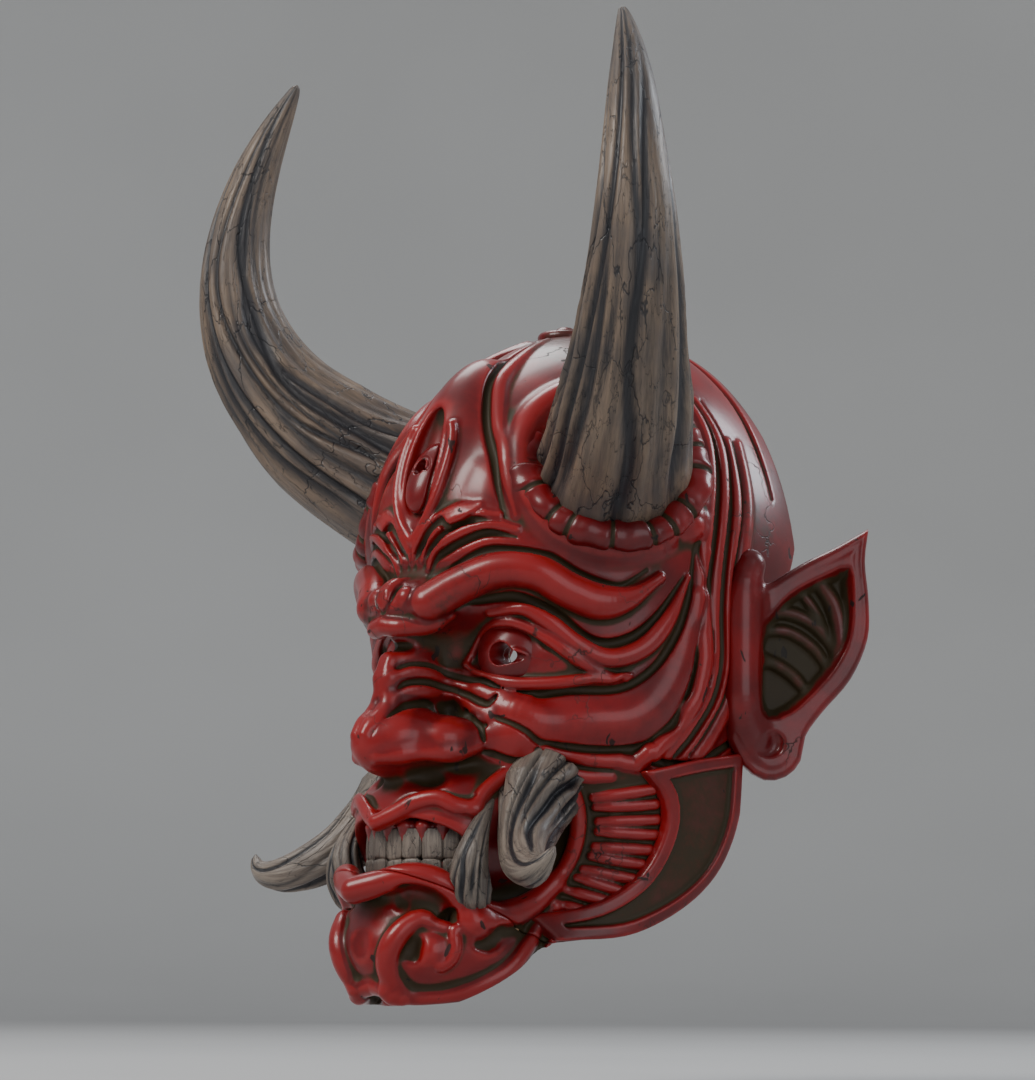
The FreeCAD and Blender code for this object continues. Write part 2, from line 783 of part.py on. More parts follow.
def build():
    """Build every piece, and return them by node name."""
    nodes = {}
    outer_skin = head_skin("outer_skin", "0")
    inner_skin = head_skin("inner_skin", f"-{cell('wall')}", foot="6")

    masses = []
    hollows = [inner_skin]
    for name, (centre, _) in FACE_MASSES.items():
        masses.append(ellipsoid(name, centre, name))
        if name in ("muzzle", "chin"):
            hollows.append(ellipsoid(f"{name}_hollow", centre, name, growth=f"-{cell('wall')}"))
    for name, (centre, _) in PAIRED_MASSES.items():
        masses += both_sides(name, ellipsoid(name, centre, name))
    outer = fuse_in_turn("outer_form", [outer_skin] + masses)
    inner = fuse_in_turn("inner_form", hollows)

    horn, collar = make_horn(outer_skin)
    nodes["horn_left"] = horn
    nodes["horn_collar_left"] = collar
    lower_tusk = tapered("lower_tusk_left", LOWER_TUSK_CURVE, LOWER_TUSK_TAPER, "lower_tusk_radius")
    curled_whole = tapered("curled_tusk_whole", CURLED_TUSK_CURVE, CURLED_TUSK_TAPER, "curled_tusk_radius")
    curled_tusk = cut("curled_tusk_left", curled_whole, inner)
    nodes["lower_tusk_left"] = cut("lower_tusk_body", lower_tusk, inner)
    nodes["curled_tusk_left"] = curled_tusk

    ear_length = 14.0
    ear_drills = shell_drills(ear_screw_starts(), "ear_drill", ear_length)
    nodes["ear_left"] = make_ear(outer_skin, ear_drills)
    nodes["eye_left"] = make_eye()

    # Stiffening bosses are added to the hollowed wood before the holes are bored.
    wall = cut("wall_form", outer, inner)
    clip_pad = block("clip_pad", Vector(CLIP_FACE, -14, -130), Vector(86, 6, -102))
    clip_boss = common("clip_boss", clip_pad, outer_skin)
    bosses = both_sides("clip_boss", clip_boss)
    bosses += both_sides("horn_boss", make_horn_boss())
    bosses += both_sides("eye_boss", common("eye_boss_inside", make_eye_boss(), outer_skin))
    hanger_pad = block("hanger_pad", Vector(-14, -21, value("bracket_top")), Vector(14, 3, 14))
    bosses.append(common("hanger_boss", hanger_pad, outer_skin))
    wood = fuse("wood", [wall] + bosses)

    clip_length = 8.0
    hanger_length = 8.0
    clip_drills = shell_drills(clip_screw_starts(), "clip_drill", clip_length)
    jaw_pins = []
    pin_holes = []
    for number, ((depth, height), inside) in enumerate(zip(JAW_PIN_PLACES, JAW_PIN_INNER)):
        start = Vector(inside, depth, height)
        pin_radius = cell("pin_radius")
        hole_radius = f"{pin_radius} + {cell('drill_clearance')}"
        jaw_pins.append(cylinder(f"jaw_pin_{number}", start, X_AXIS, pin_radius, str(JAW_PIN_LENGTH)))
        pin_holes.append(cylinder(f"pin_hole_{number}", start, X_AXIS, hole_radius, str(JAW_PIN_LENGTH)))
    pin_hole_group = group("pin_holes", pin_holes)

    side_tools = {
        "horn_socket": make_horn_socket("horn_socket"),
        "stud_hole": make_stud_hole(),
        "lower_tusk": lower_tusk,
        "curled_tusk": curled_whole,
        "ear_drill": ear_drills,
        "clip_drill": clip_drills,
        "pin_hole": pin_hole_group,
    }
    for number, tool in enumerate(make_eye_bores()):
        side_tools[f"eye_bore_{number}"] = tool
    bores = [make_mouth_opening()]
    for name, tool in side_tools.items():
        bores += both_sides(name, tool)
    hanger_drills = [
        screw_drill(f"hanger_drill_{number}", start, Z_AXIS, hanger_length)
        for number, start in enumerate(bracket_screw_starts())
    ]
    joint = Vector(0, CHIN_JOINT_FRONT[0] - CHIN_JOINT_REAR[0], CHIN_JOINT_FRONT[1] - CHIN_JOINT_REAR[1])
    joint_normal = joint.cross(X_AXIS).normalize()
    dowels = []
    dowel_holes = []
    for number, middle in enumerate(CHIN_DOWEL_PLACES):
        start = middle - joint_normal * (CHIN_DOWEL_LENGTH / 2)
        radius = cell("dowel_radius")
        hole_radius = f"{radius} + {cell('drill_clearance')}"
        dowels.append(cylinder(f"chin_dowel_{number}", start, joint_normal, radius, str(CHIN_DOWEL_LENGTH)))
        dowel_holes.append(
            cylinder(f"dowel_hole_{number}", start, joint_normal, hole_radius, str(CHIN_DOWEL_LENGTH)))
    bored = cut("bored_wood", wood, fuse("bores", bores + hanger_drills + dowel_holes))

    face_side = side_prism("face_side", RIM + (CHIN_JOINT_FRONT,))
    chin_side = side_prism("chin_side", (CHIN_JOINT_REAR, CHIN_JOINT_FRONT) + CHIN_BOTTOM)
    nodes["face_shell"] = common("face_shell", bored, face_side)
    nodes["chin_piece"] = common("chin_piece", bored, chin_side)

    plate_outer = head_skin("plate_outer", cell("plate_thickness"))
    plate_inner = head_skin("plate_inner", cell("plate_gap"))
    plate_stock = cut("plate_stock", plate_outer, fuse("plate_seat", [plate_inner, pin_hole_group]))
    plate_side = side_prism("jaw_plate_side", JAW_PLATE_OUTLINE)
    left_half = block("left_half", Vector(20, -140, -260), Vector(120, 20, -140))
    plate_blank = common("plate_blank", common("plate_curve", plate_stock, plate_side), left_half)
    plate_beside_ear = cut("plate_beside_ear", plate_blank, nodes["ear_left"])
    nodes["jaw_plate_left"] = cut("jaw_plate_left", plate_beside_ear, nodes["face_shell"])

    clip_body, clip_bore = make_strap_clip()
    clip_holes = fuse("clip_holes", [clip_bore, clip_drills])
    nodes["strap_clip_left"] = cut("strap_clip_left", clip_body, clip_holes)
    nodes["strap_ring_left"] = make_strap_ring()
    nodes["cheek_pad_left"] = make_pad("cheek_pad_left", Vector(40, -60, -178), Vector(90, -30, -142))

    for name in [name for name in nodes if name.endswith("_left")]:
        twin = name.replace("_left", "_right")
        nodes[twin] = mirrored(twin, nodes[name])

    nodes["forehead_pad"] = make_pad("forehead_pad", Vector(-30, -120, -76), Vector(30, -60, -50))
    eye_spot = primitive(
        "Part::Ellipsoid", "third_eye_form", Placement(THIRD_EYE_CENTRE, Rotation(X_AXIS, -28)),
        Radius1=cell("third_eye_tall"), Radius2=cell("third_eye_wide"), Radius3=cell("third_eye_deep"),
    )
    nodes["third_eye"] = cut("third_eye", eye_spot, outer_skin)
    crown_place = Placement(CROWN_BOSS_CENTRE, Rotation())
    crown_ball = primitive("Part::Sphere", "crown_ball", crown_place, Radius=cell("crown_boss_radius"))
    nodes["crown_boss"] = cut("crown_boss", crown_ball, outer_skin)

    upper = make_teeth("upper_tooth", UPPER_TOOTH_ROOT, downward=True)
    lower = make_teeth("lower_tooth", LOWER_TOOTH_ROOT, downward=False)
    nodes["upper_teeth"] = group("upper_teeth", upper)
    nodes["lower_teeth"] = group("lower_teeth", lower)
    upper_gum_height = value("mouth_top") - value("gum_height")
    nodes["upper_gum"] = make_gum("upper_gum", upper_gum_height, upper)
    nodes["lower_gum"] = make_gum("lower_gum", value("mouth_bottom"), lower)

    stud, washer, nut = make_horn_fixings()
    nodes["horn_studs"] = group("horn_studs", both_sides("stud", stud))
    nodes["horn_washers"] = group("horn_washers", both_sides("washer", washer))
    nodes["horn_nuts"] = group("horn_nuts", both_sides("nut", nut))

    ear_screws = [
        screw(f"ear_screw_{n}", start, X_AXIS, ear_length) for n, start in enumerate(ear_screw_starts())
    ]
    clip_screws = [
        screw(f"clip_screw_{n}", start, X_AXIS, clip_length) for n, start in enumerate(clip_screw_starts())
    ]
    nodes["ear_screws"] = group(
        "ear_screws", both_sides("ear_screws", group("ear_screws_one_side", ear_screws)))
    nodes["strap_clip_screws"] = group(
        "strap_clip_screws", both_sides("clip_screws", group("clip_screws_one_side", clip_screws)))
    nodes["jaw_plate_pins"] = group(
        "jaw_plate_pins", both_sides("jaw_pins", group("jaw_pins_one_side", jaw_pins)))
    nodes["chin_dowels"] = group("chin_dowels", dowels)

    hanger = make_hanger()
    nodes["hanger_bracket"] = cut("hanger_drilled", hanger, group("hanger_holes", hanger_drills))
    nodes["hanger_screws"] = group("hanger_screws", [
        screw(f"hanger_screw_{number}", start, Z_AXIS, hanger_length)
        for number, start in enumerate(bracket_screw_starts())
    ])
    return nodes


def check_and_export(nodes):
    """Stop if anything failed, then write one file per node."""
    doc.recompute()
    for item in doc.Objects:
        if {"Invalid", "Error"} & set(item.State):
            raise RuntimeError(f"{item.Name} is {item.State}")
    os.makedirs(OUT_DIR, exist_ok=True)
    for name, item in sorted(nodes.items()):
        shape = item.Shape
        if shape.isNull() or not shape.isValid() or not shape.Solids:
            raise RuntimeError(f"{name} has no valid solid")
        item.Label = name
        shape.exportStep(os.path.join(OUT_DIR, f"{name}.step"))
        print(f"{name}: {len(shape.Solids)} solids, {shape.Volume / 1000:.2f} cm3")


check_and_export(build())
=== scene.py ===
"""A carved and lacquered demon mask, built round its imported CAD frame.

The carving is sculpted as a solid field on a grid, in millimetres, and meshed once it is finished.
"""

import json
import math

import bmesh
import bpy
import numpy as np
import openvdb
from mathutils import Matrix, Vector

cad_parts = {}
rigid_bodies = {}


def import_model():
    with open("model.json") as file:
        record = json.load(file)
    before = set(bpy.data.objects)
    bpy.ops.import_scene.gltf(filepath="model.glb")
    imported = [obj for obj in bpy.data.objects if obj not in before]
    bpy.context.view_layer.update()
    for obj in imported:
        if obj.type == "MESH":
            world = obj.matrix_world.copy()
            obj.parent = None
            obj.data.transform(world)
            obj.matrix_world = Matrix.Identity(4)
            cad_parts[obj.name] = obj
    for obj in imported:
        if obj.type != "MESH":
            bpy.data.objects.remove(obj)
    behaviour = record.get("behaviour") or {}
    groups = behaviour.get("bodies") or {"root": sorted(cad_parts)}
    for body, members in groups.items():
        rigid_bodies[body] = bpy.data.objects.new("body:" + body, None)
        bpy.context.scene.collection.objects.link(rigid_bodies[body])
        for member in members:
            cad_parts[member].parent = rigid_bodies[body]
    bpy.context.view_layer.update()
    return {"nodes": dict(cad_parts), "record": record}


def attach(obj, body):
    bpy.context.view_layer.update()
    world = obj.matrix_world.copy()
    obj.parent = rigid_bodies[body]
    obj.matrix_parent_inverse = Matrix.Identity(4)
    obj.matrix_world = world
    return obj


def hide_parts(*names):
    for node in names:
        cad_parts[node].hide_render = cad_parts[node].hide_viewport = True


MM = 0.001
VOXEL = 0.75
FIELD_LOW = np.array([-3.0, -174.0, -288.0])
FIELD_HIGH = np.array([93.0, 42.0, 26.0])
FAR = 60.0


# ---------------------------------------------------------------- fields

class Field:
    """Signed distance, in millimetres and negative inside, sampled on a regular grid."""

    def __init__(self, low, high, voxel):
        self.low = np.array(low, dtype=float)
        self.voxel = voxel
        self.count = np.ceil((np.array(high) - self.low) / voxel).astype(int) + 1
        self.values = np.full(tuple(self.count), FAR, dtype=np.float32)

    def region(self, low, high):
        """The slices that cover a box, clipped to the grid."""
        first = np.clip(np.floor((np.asarray(low) - self.low) / self.voxel).astype(int), 0, self.count)
        last = np.clip(np.ceil((np.asarray(high) - self.low) / self.voxel).astype(int) + 1, 0, self.count)
        return tuple(slice(a, b) for a, b in zip(first, last))

    def axes(self, window=None):
        """Coordinates along X, Y and Z over a region, shaped to broadcast."""
        window = window or tuple(slice(0, n) for n in self.count)
        lines = [
            (self.low[k] + self.voxel * np.arange(window[k].start, window[k].stop)).astype(np.float32)
            for k in range(3)
        ]
        return lines[0][:, None, None], lines[1][None, :, None], lines[2][None, None, :]

    def sample(self, points, values=None):
        """Trilinear samples at points, one row each."""
        values = self.values if values is None else values
        place = (np.asarray(points, dtype=float) - self.low) / self.voxel
        place = np.clip(place, 0, self.count - 1.001)
        base = place.astype(int)
        part = place - base
        total = 0.0
        for corner in range(8):
            step = np.array([corner & 1, corner >> 1 & 1, corner >> 2 & 1])
            weight = np.prod(np.where(step, part, 1 - part), axis=-1)
            at = base + step
            total = total + weight * values[at[..., 0], at[..., 1], at[..., 2]]
        return total


def smooth_min(a, b, blend):
    """The smaller of two distances, with the edge between them rounded over a blend."""
    if blend <= 0:
        return np.minimum(a, b)
    share = np.maximum(blend - np.abs(a - b), 0.0) / blend
    return np.minimum(a, b) - share * share * blend * 0.25


def smooth_max(a, b, blend):
    """The larger of two distances, rounded in the same way."""
    return -smooth_min(-a, -b, blend)


def add(field, window, solid, blend):
    """Joins a solid to a field, within a region of it."""
    field.values[window] = smooth_min(field.values[window], solid, blend)


def carve(field, window, solid, blend):
    """Cuts a solid out of a field, within a region of it."""
    field.values[window] = smooth_max(field.values[window], -solid, blend)


def ellipsoid_field(field, centre, radii, blend, tilt=(0, 0, 0)):
    """A region and the distance to an ellipsoid in it, turned by Euler angles in degrees."""
    centre = np.asarray(centre, dtype=float)
    radii = np.asarray(radii, dtype=float)
    reach = radii.max() + blend + 2
    window = field.region(centre - reach, centre + reach)
    x, y, z = field.axes(window)
    spin = np.array(
        Matrix.Rotation(math.radians(tilt[2]), 3, "Z")
        @ Matrix.Rotation(math.radians(tilt[1]), 3, "Y")
        @ Matrix.Rotation(math.radians(tilt[0]), 3, "X"))
    local = [
        spin[0, k] * (x - centre[0]) + spin[1, k] * (y - centre[1]) + spin[2, k] * (z - centre[2])
        for k in range(3)
    ]
    ratio = np.sqrt(sum((part / radius) ** 2 for part, radius in zip(local, radii)))
    gradient = np.sqrt(sum((part / radius ** 2) ** 2 for part, radius in zip(local, radii)))
    distance = np.where(ratio < 0.05, -radii.min(), ratio * (ratio - 1) / np.maximum(gradient, 1e-6))
    return window, distance.astype(np.float32)


def add_mass(field, centre, radii, blend=6.0, tilt=(0, 0, 0)):
    """Joins an ellipsoid to a field."""
    window, solid = ellipsoid_field(field, centre, radii, blend, tilt)
    add(field, window, solid, blend)


def hollow(field, centre, radii, blend=6.0, tilt=(0, 0, 0)):
    """Cuts an ellipsoid out of a field."""
    window, solid = ellipsoid_field(field, centre, radii, blend, tilt)
    carve(field, window, solid, blend)


def smooth_path(points, spacing=2.0):
    """A Catmull-Rom curve through points, as closely spaced samples."""
    points = np.asarray(points, dtype=float)
    padded = np.vstack([2 * points[0] - points[1], points, 2 * points[-1] - points[-2]])
    samples = []
    for k in range(len(points) - 1):
        a, b, c, d = padded[k:k + 4]
        steps = max(2, int(np.linalg.norm(c[:3] - b[:3]) / spacing))
        share = np.arange(steps)[:, None] / steps
        samples.append(0.5 * (
            2 * b + (c - a) * share + (2 * a - 5 * b + 4 * c - d) * share ** 2
            + (3 * b - a - 3 * c + d) * share ** 3))
    samples.append(points[-1:])
    return np.vstack(samples)


def tube_field(field, path, radii, margin):
    """A region and the distance to a tube of changing radius along a path."""
    path = np.asarray(path, dtype=float)
    radii = np.asarray(radii, dtype=float)
    reach = radii.max() + margin
    window = field.region(path.min(axis=0) - reach, path.max(axis=0) + reach)
    shape = tuple(part.stop - part.start for part in window)
    distance = np.full(shape, margin + 1.0, dtype=np.float32)
    if 0 in shape:
        return window, distance
    start = np.array([part.start for part in window])
    for a, b, radius_a, radius_b in zip(path[:-1], path[1:], radii[:-1], radii[1:]):
        near = max(radius_a, radius_b) + margin
        small = field.region(np.minimum(a, b) - near, np.maximum(a, b) + near)
        inner = tuple(slice(s.start - o, s.stop - o) for s, o in zip(small, start))
        inner = tuple(slice(max(0, s.start), max(0, s.stop)) for s in inner)
        x, y, z = field.axes(small)
        leg = b - a
        length2 = max(float(leg @ leg), 1e-6)
        along = ((x - a[0]) * leg[0] + (y - a[1]) * leg[1] + (z - a[2]) * leg[2]) / length2
        along = np.clip(along, 0, 1)
        gap = np.sqrt(
            (x - a[0] - along * leg[0]) ** 2 + (y - a[1] - along * leg[1]) ** 2
            + (z - a[2] - along * leg[2]) ** 2)
        gap = gap - (radius_a + along * (radius_b - radius_a))
        target = distance[inner]
        if target.size:
            np.minimum(target, gap.astype(np.float32), out=target)
    return window, distance


# ---------------------------------------------------------------- the head's base form

DOME_CENTRE = np.array([0.0, -10.0, -90.0])
DOME_RADII = np.array([83.0, 106.0, 106.0])
LEVELS = np.array([
    # height, half width, centre, half depth
    (-90.0, 83.0, -10.0, 106.0),
    (-130.0, 84.0, -10.0, 93.0),
    (-160.0, 80.0, -18.0, 84.0),
    (-190.0, 78.0, -8.0, 80.0),
    (-215.0, 72.5, -14.0, 74.0),
    (-240.0, 66.0, -27.0, 67.0),
    (-262.0, 48.0, -66.0, 50.0),
    (-288.0, 24.0, -95.0, 40.0),
])


def head_distance(x, y, z):
    """Distance to the plain head: a dome over oval cross sections."""
    centre = DOME_CENTRE
    radii = DOME_RADII
    offset = [x - centre[0], y - centre[1], z - centre[2]]
    ratio = np.sqrt(sum((part / radius) ** 2 for part, radius in zip(offset, radii)))
    reach = np.sqrt(sum(part ** 2 for part in offset))
    dome = (ratio - 1) * reach / np.maximum(ratio, 0.05)
    heights = LEVELS[::-1, 0]
    width, middle, depth = [np.interp(z, heights, LEVELS[::-1, k]) for k in (1, 2, 3)]
    ratio = np.sqrt((x / width) ** 2 + ((y - middle) / depth) ** 2)
    reach = np.sqrt(x ** 2 + (y - middle) ** 2)
    lower = (ratio - 1) * reach / np.maximum(ratio, 0.05)
    return np.where(z > centre[2], dome, lower).astype(np.float32)


def base_form():
    """The head with its large masses, before any carving."""
    field = Field(FIELD_LOW, FIELD_HIGH, VOXEL)
    field.values[:] = head_distance(*field.axes())
    add_mass(field, (0, -93, -198), (41, 38, 33), 10)      # muzzle
    add_mass(field, (0, -97, -245), (40, 45, 26), 8)       # chin
    add_mass(field, (0, -114, -229), (30, 22, 12), 6)      # under the lower lip
    add_mass(field, (0, -112, -108), (22, 20, 12), 8)      # knot between the brows
    hollow(field, (37, -104, -124), (24, 13.5, 11.5), 8)   # eye socket
    add_mass(field, (37, -76, -129), (21, 14, 13), 5)      # eyeball
    add_mass(field, (0, -112, -140), (9, 20, 26), 6)       # bridge of the nose
    add_mass(field, (0, -127, -164), (12, 18, 13), 7)      # tip of the nose
    add_mass(field, (8, -121, -161), (11, 15, 11), 8)      # between the tip and the wing
    add_mass(field, (17.5, -112, -162), (12.5, 14, 10), 5) # wing of the nose
    add_mass(field, (31, -88, -160), (15, 14, 14), 12)     # between the cheek and the muzzle
    return field


# ---------------------------------------------------------------- chisel strokes

def gradient(field, points, reach=1.5):
    """Outward unit directions at several points."""
    parts = []
    for axis in np.eye(3) * reach:
        parts.append(field.sample(points + axis) - field.sample(points - axis))
    slope = np.stack(parts, axis=-1)
    return slope / (np.linalg.norm(slope, axis=-1, keepdims=True) + 1e-9)


def settle(field, points, rounds=4):
    """Moves points onto the surface, and returns them with the outward directions there."""
    points = np.array(points, dtype=float)
    for _ in range(rounds):
        outward = gradient(field, points)
        step = np.clip(field.sample(points), -6, 6)
        points = points - outward * (0.8 * step)[:, None]
    return points, gradient(field, points)


def eased(share):
    """A share from 0 to 1 that starts and ends gently."""
    return share * share * (3 - 2 * share)


def end_profile(count, ends):
    """Thickness along a stroke: full in its middle, and a share of that at its two ends."""
    share = np.linspace(0, 1, count)
    rise = eased(np.clip(share / 0.3, 0, 1))
    fall = eased(np.clip((1 - share) / 0.3, 0, 1))
    return (ends[0] + (1 - ends[0]) * rise) * (ends[1] + (1 - ends[1]) * fall)


def ridge(field, points, radius, lift=0.0, blend=2.0, ends=(0.4, 0.4), free=False):
    """Adds a rounded roll along points. The lift is its centre's height in radii over the surface."""
    path = smooth_path(points)
    radii = radius * end_profile(len(path), ends)
    if not free:
        path, outward = settle(field, path)
        path = path + outward * (lift * radii)[:, None]
    window, solid = tube_field(field, path, radii, blend + 1.5)
    add(field, window, solid, blend)


def groove(field, points, half_width, depth, blend=0.8, ends=(0.3, 0.3)):
    """Cuts a round-bottomed channel of a given half width and depth along points on the surface."""
    path, outward = settle(field, smooth_path(points))
    profile = end_profile(len(path), ends)
    cutter = (half_width ** 2 + depth ** 2) / (2 * depth)
    path = path + outward * ((cutter - depth) * profile)[:, None]
    window, solid = tube_field(field, path, cutter * profile, blend + 1.5)
    carve(field, window, solid, blend)


def between(first, second, share):
    """A row of points part of the way from one row to another with as many points."""
    first = np.asarray(first, dtype=float)
    second = np.asarray(second, dtype=float)
    return first + (second - first) * share


# ---------------------------------------------------------------- the carving, left half

BROW_ROLL = [(16, -121, -107.5), (25, -112.5, -100), (38, -103, -94), (50, -93.5, -95), (58, -83.5, -102),
             (65.5, -73.5, -106.5), (72, -63, -104.5), (77.5, -51, -96)]
BROW_TOP = [(13, -116, -98), (23, -111, -91), (34, -106, -86), (43, -100, -87), (50, -94, -92),
            (56, -85, -98), (63, -76, -102), (70, -66, -100), (75, -56, -93)]
BROW_FOLDS = [
    [(2, -117, -92), (3, -115, -86), (11, -114, -78), (21, -110, -73), (30, -106, -71)],
    [(7, -116, -92), (9, -115, -86), (17, -113, -79), (27, -109, -75), (38, -103, -75)],
    [(10, -116, -96), (14, -114, -88), (24, -110, -82), (34, -106, -79), (44, -99, -81)],
]
FROWN_ROLL = [(0, -130, -116), (7, -128, -117), (14, -121, -116), (20, -113, -112)]
FROWN_CREASE = [(0, -131, -112), (4, -130, -105), (5, -126, -97)]
FROWN_MIDDLE = [(0, -129, -108), (1, -127, -100), (1, -123, -93)]
BROW_UNDER = [(16, -121, -114), (29, -104, -106), (43, -97, -105), (51, -88, -110), (58, -79, -119),
              (65, -70, -123), (71, -60, -120), (76, -51, -111), (80, -40, -95)]
LID_FOLD = [(30, -100, -110), (43, -94, -109), (51, -86, -115), (58, -78, -124), (66, -68, -129),
            (73, -56, -124), (78, -46, -111), (80, -38, -95)]
UPPER_LID = [(16, -101, -130), (22, -98, -121), (34, -97, -115), (44, -91, -117), (54, -82, -125),
             (63, -72, -134), (69, -62, -137)]
LOWER_LID = [(16, -101, -131), (26, -98, -136), (38, -94, -139), (50, -85, -139), (62, -73, -137),
             (70, -61, -136)]
LID_CREASE = [(19, -100, -128), (28, -99, -120), (38, -96, -119), (47, -90, -123), (56, -81, -130)]
CHEEK_TOP = [(9, -114, -131), (16, -101, -136), (30, -96, -142), (42, -90, -144), (55, -80, -142),
             (67, -64, -141), (75, -53, -133), (79, -43, -118), (81, -38, -102), (80, -34, -80)]
CHEEK_BOTTOM = [(19, -101, -150), (30, -97, -154), (45, -87, -161), (54, -78, -165), (65, -64, -166),
                (73, -52, -163), (79, -40, -150), (82, -34, -128), (82, -32, -104), (80, -32, -80)]
TEMPLE_LINES = [
    [(56, -18, -10), (68, -14, -30), (77, -18, -50), (81, -24, -72), (82, -29, -98), (83, -28, -124),
     (81, -31, -144), (77, -39, -157), (72, -48, -167)],
    [(61, -11, -18), (71, -8, -36), (79, -13, -58), (83, -19, -82), (84, -22, -106), (84, -22, -128),
     (82, -25, -144), (79, -33, -157), (75, -41, -167)],
    [(70, -2, -36), (79, -6, -60), (84, -13, -86), (85, -16, -109), (85, -17, -128), (83, -19, -143),
     (81, -26, -156), (78, -34, -167)],
]
RIM_GROOVE = [(4, 4, 13), (20, 5, 10), (38, 8, 2), (49, 11, -7), (60, 14, -21), (70, 15, -38), (77, 16, -58)]
STEP = [(66, -60, -168), (72, -51, -169), (75, -42, -171), (78, -30, -170), (80, -12, -161)]
PANEL_EDGE = [(2, -48, 8), (6, -66, -2), (11, -82, -13), (18, -91, -25), (25, -97, -37), (31, -99, -49),
              (35, -101, -61), (39, -101, -73)]
EYE_FRAME = [(0, -84, -14), (6, -93, -26), (11, -103, -42), (12, -111, -58), (8, -115, -71), (0, -116, -81)]
NOSE_BRIDGE = [(2, -129, -130), (3, -138, -146), (3, -144, -160)]
NOSE_SIDE_FOLDS = [
    [(4, -129, -134), (8, -121, -131), (10, -108, -133), (17, -101, -137), (28, -97, -141), (42, -90, -146)],
    [(5, -131, -143), (8, -124, -139), (11, -112, -139), (17, -102, -143), (28, -98, -148), (40, -91, -152)],
]
WING_CREASE = [(6, -143, -161), (7, -136, -153), (9, -126, -148), (13, -113, -147), (19, -104, -151),
               (26, -101, -158), (30, -104, -165)]
WING_EDGE = [(6, -139, -170), (14, -132, -170), (22, -124, -170), (28, -114, -169), (29, -105, -164)]
SMILE_LINES = [
    [(22, -101, -152), (30, -97, -157), (40, -89, -164), (47, -82, -169), (54, -74, -173), (62, -63, -173)],
    [(27, -103, -165), (33, -98, -167), (39, -91, -169), (45, -84, -171)],
]
UPPER_LIP = [(0, -133, -195), (7, -130, -192), (15, -126, -187.5), (23, -121, -186), (29, -117, -189),
             (34, -111, -190)]
LIP_RING = [(34, -112, -190), (34, -105, -182), (35, -96, -176), (38, -89, -172.5), (45, -82, -173),
            (50, -75, -180), (51, -71, -189), (50, -70, -199), (47, -71, -209), (43, -75, -218),
            (40, -83, -225), (37, -96, -231)]
TUSK_SOCKET = [(27, -121, -226), (32, -118, -233), (38, -111, -236), (41, -101, -235)]
LOWER_LIP = [(0, -145, -222.5), (9, -140, -220), (19, -132, -217), (27, -125, -219), (31, -118, -225.5),
             (35, -110, -230.5), (37, -98, -232), (40, -86, -228), (44, -77, -219)]
CHIN_SCROLL = [(44, -76, -228), (42, -88, -243), (39, -98, -254), (32, -109, -261), (22, -119, -265),
               (13, -127, -264), (12, -136, -258), (14, -140, -249), (17, -138, -241), (21, -134, -235),
               (26, -129, -233), (32, -123, -237), (34, -121, -244), (32, -122, -250), (29, -124, -252)]
CHIN_TIP = [(0, -138, -266), (6, -137, -266), (13, -131, -266)]
CHIN_HOLLOW = [(6, -140, -229), (16, -136, -226), (26, -125, -229), (36, -106, -238), (41, -92, -238)]
CHIN_EDGE = [(0, -128, -268), (9, -122, -270), (21, -115, -271), (32, -103, -267), (40, -92, -260),
             (44, -84, -250), (45, -77, -240)]
RIBS_FRONT = [(55, -66, -184), (56, -64, -196), (54, -66, -208), (49, -71, -218), (45, -75, -227)]
RIBS_BACK = [(71, -48, -181), (70, -45, -195), (66, -48, -209), (62, -56, -222), (54, -66, -231)]
RIB_COUNT = 10


def horn_directions():
    """The way a horn leaves the head, and two directions across it."""
    line = HORN_LINE / np.linalg.norm(HORN_LINE)
    side = np.cross(line, (0, 0, 1))
    side /= np.linalg.norm(side)
    return line, side, np.cross(line, side)


def shifted(points, *offset):
    """Points moved together by one offset."""
    return np.array(points) + offset


def carve_horn_seat(field):
    """A low swelling under a horn's collar."""
    _, side, up = horn_directions()
    ring = [
        HORN_ROOT + 37 * (side * math.cos(turn) + up * math.sin(turn))
        for turn in np.linspace(0, 2 * math.pi, 25)
    ]
    ridge(field, ring, 7.5, lift=-0.45, blend=3, ends=(1, 1))


def carve_forehead(field):
    """The swelling round the third eye, its frame, and the folds that rise from the frown."""
    add_mass(field, (0, -92, -38), (18, 16, 40), 8, (-28, 0, 0))
    add_mass(field, (24, -98, -66), (11, 8, 16), 5)
    groove(field, PANEL_EDGE, 2.6, 2.6)
    ridge(field, shifted(PANEL_EDGE, 4.5, 1.5, 1), 3.8, lift=-0.4)
    ridge(field, EYE_FRAME, 2.0, lift=0.45, ends=(0.8, 0.8))
    hollow(field, (0, -110, -50), (8.5, 7, 27), 2, (-20, 0, 0))
    for fold in BROW_FOLDS:
        ridge(field, shifted(fold, 0, 0, 3.4), 3.8, lift=-0.35, blend=1.5)
    for fold in BROW_FOLDS:
        groove(field, fold, 1.7, 2.4)


def carve_brows(field):
    """The thick brow roll, the lid fold under it, and the frown between the brows."""
    ridge(field, BROW_ROLL, 7.6, blend=2.0, ends=(1.05, 0.28), free=True)
    groove(field, BROW_TOP, 1.8, 2.6)
    ridge(field, LID_FOLD, 4.2, lift=0.1, blend=1.5, ends=(0.4, 0.3))
    groove(field, BROW_UNDER, 1.9, 3.0)
    ridge(field, FROWN_ROLL, 4.2, free=True, ends=(1, 0.5))
    hollow(field, (9, -125, -124), (14, 6, 3.0), 1.5, (0, 0, 20))
    groove(field, FROWN_CREASE, 1.3, 1.8)
    add_mass(field, (8.5, -126, -105.5), (4.6, 4.6, 5.0), 0.6)
    ridge(field, FROWN_MIDDLE, 2.6, lift=-0.1)


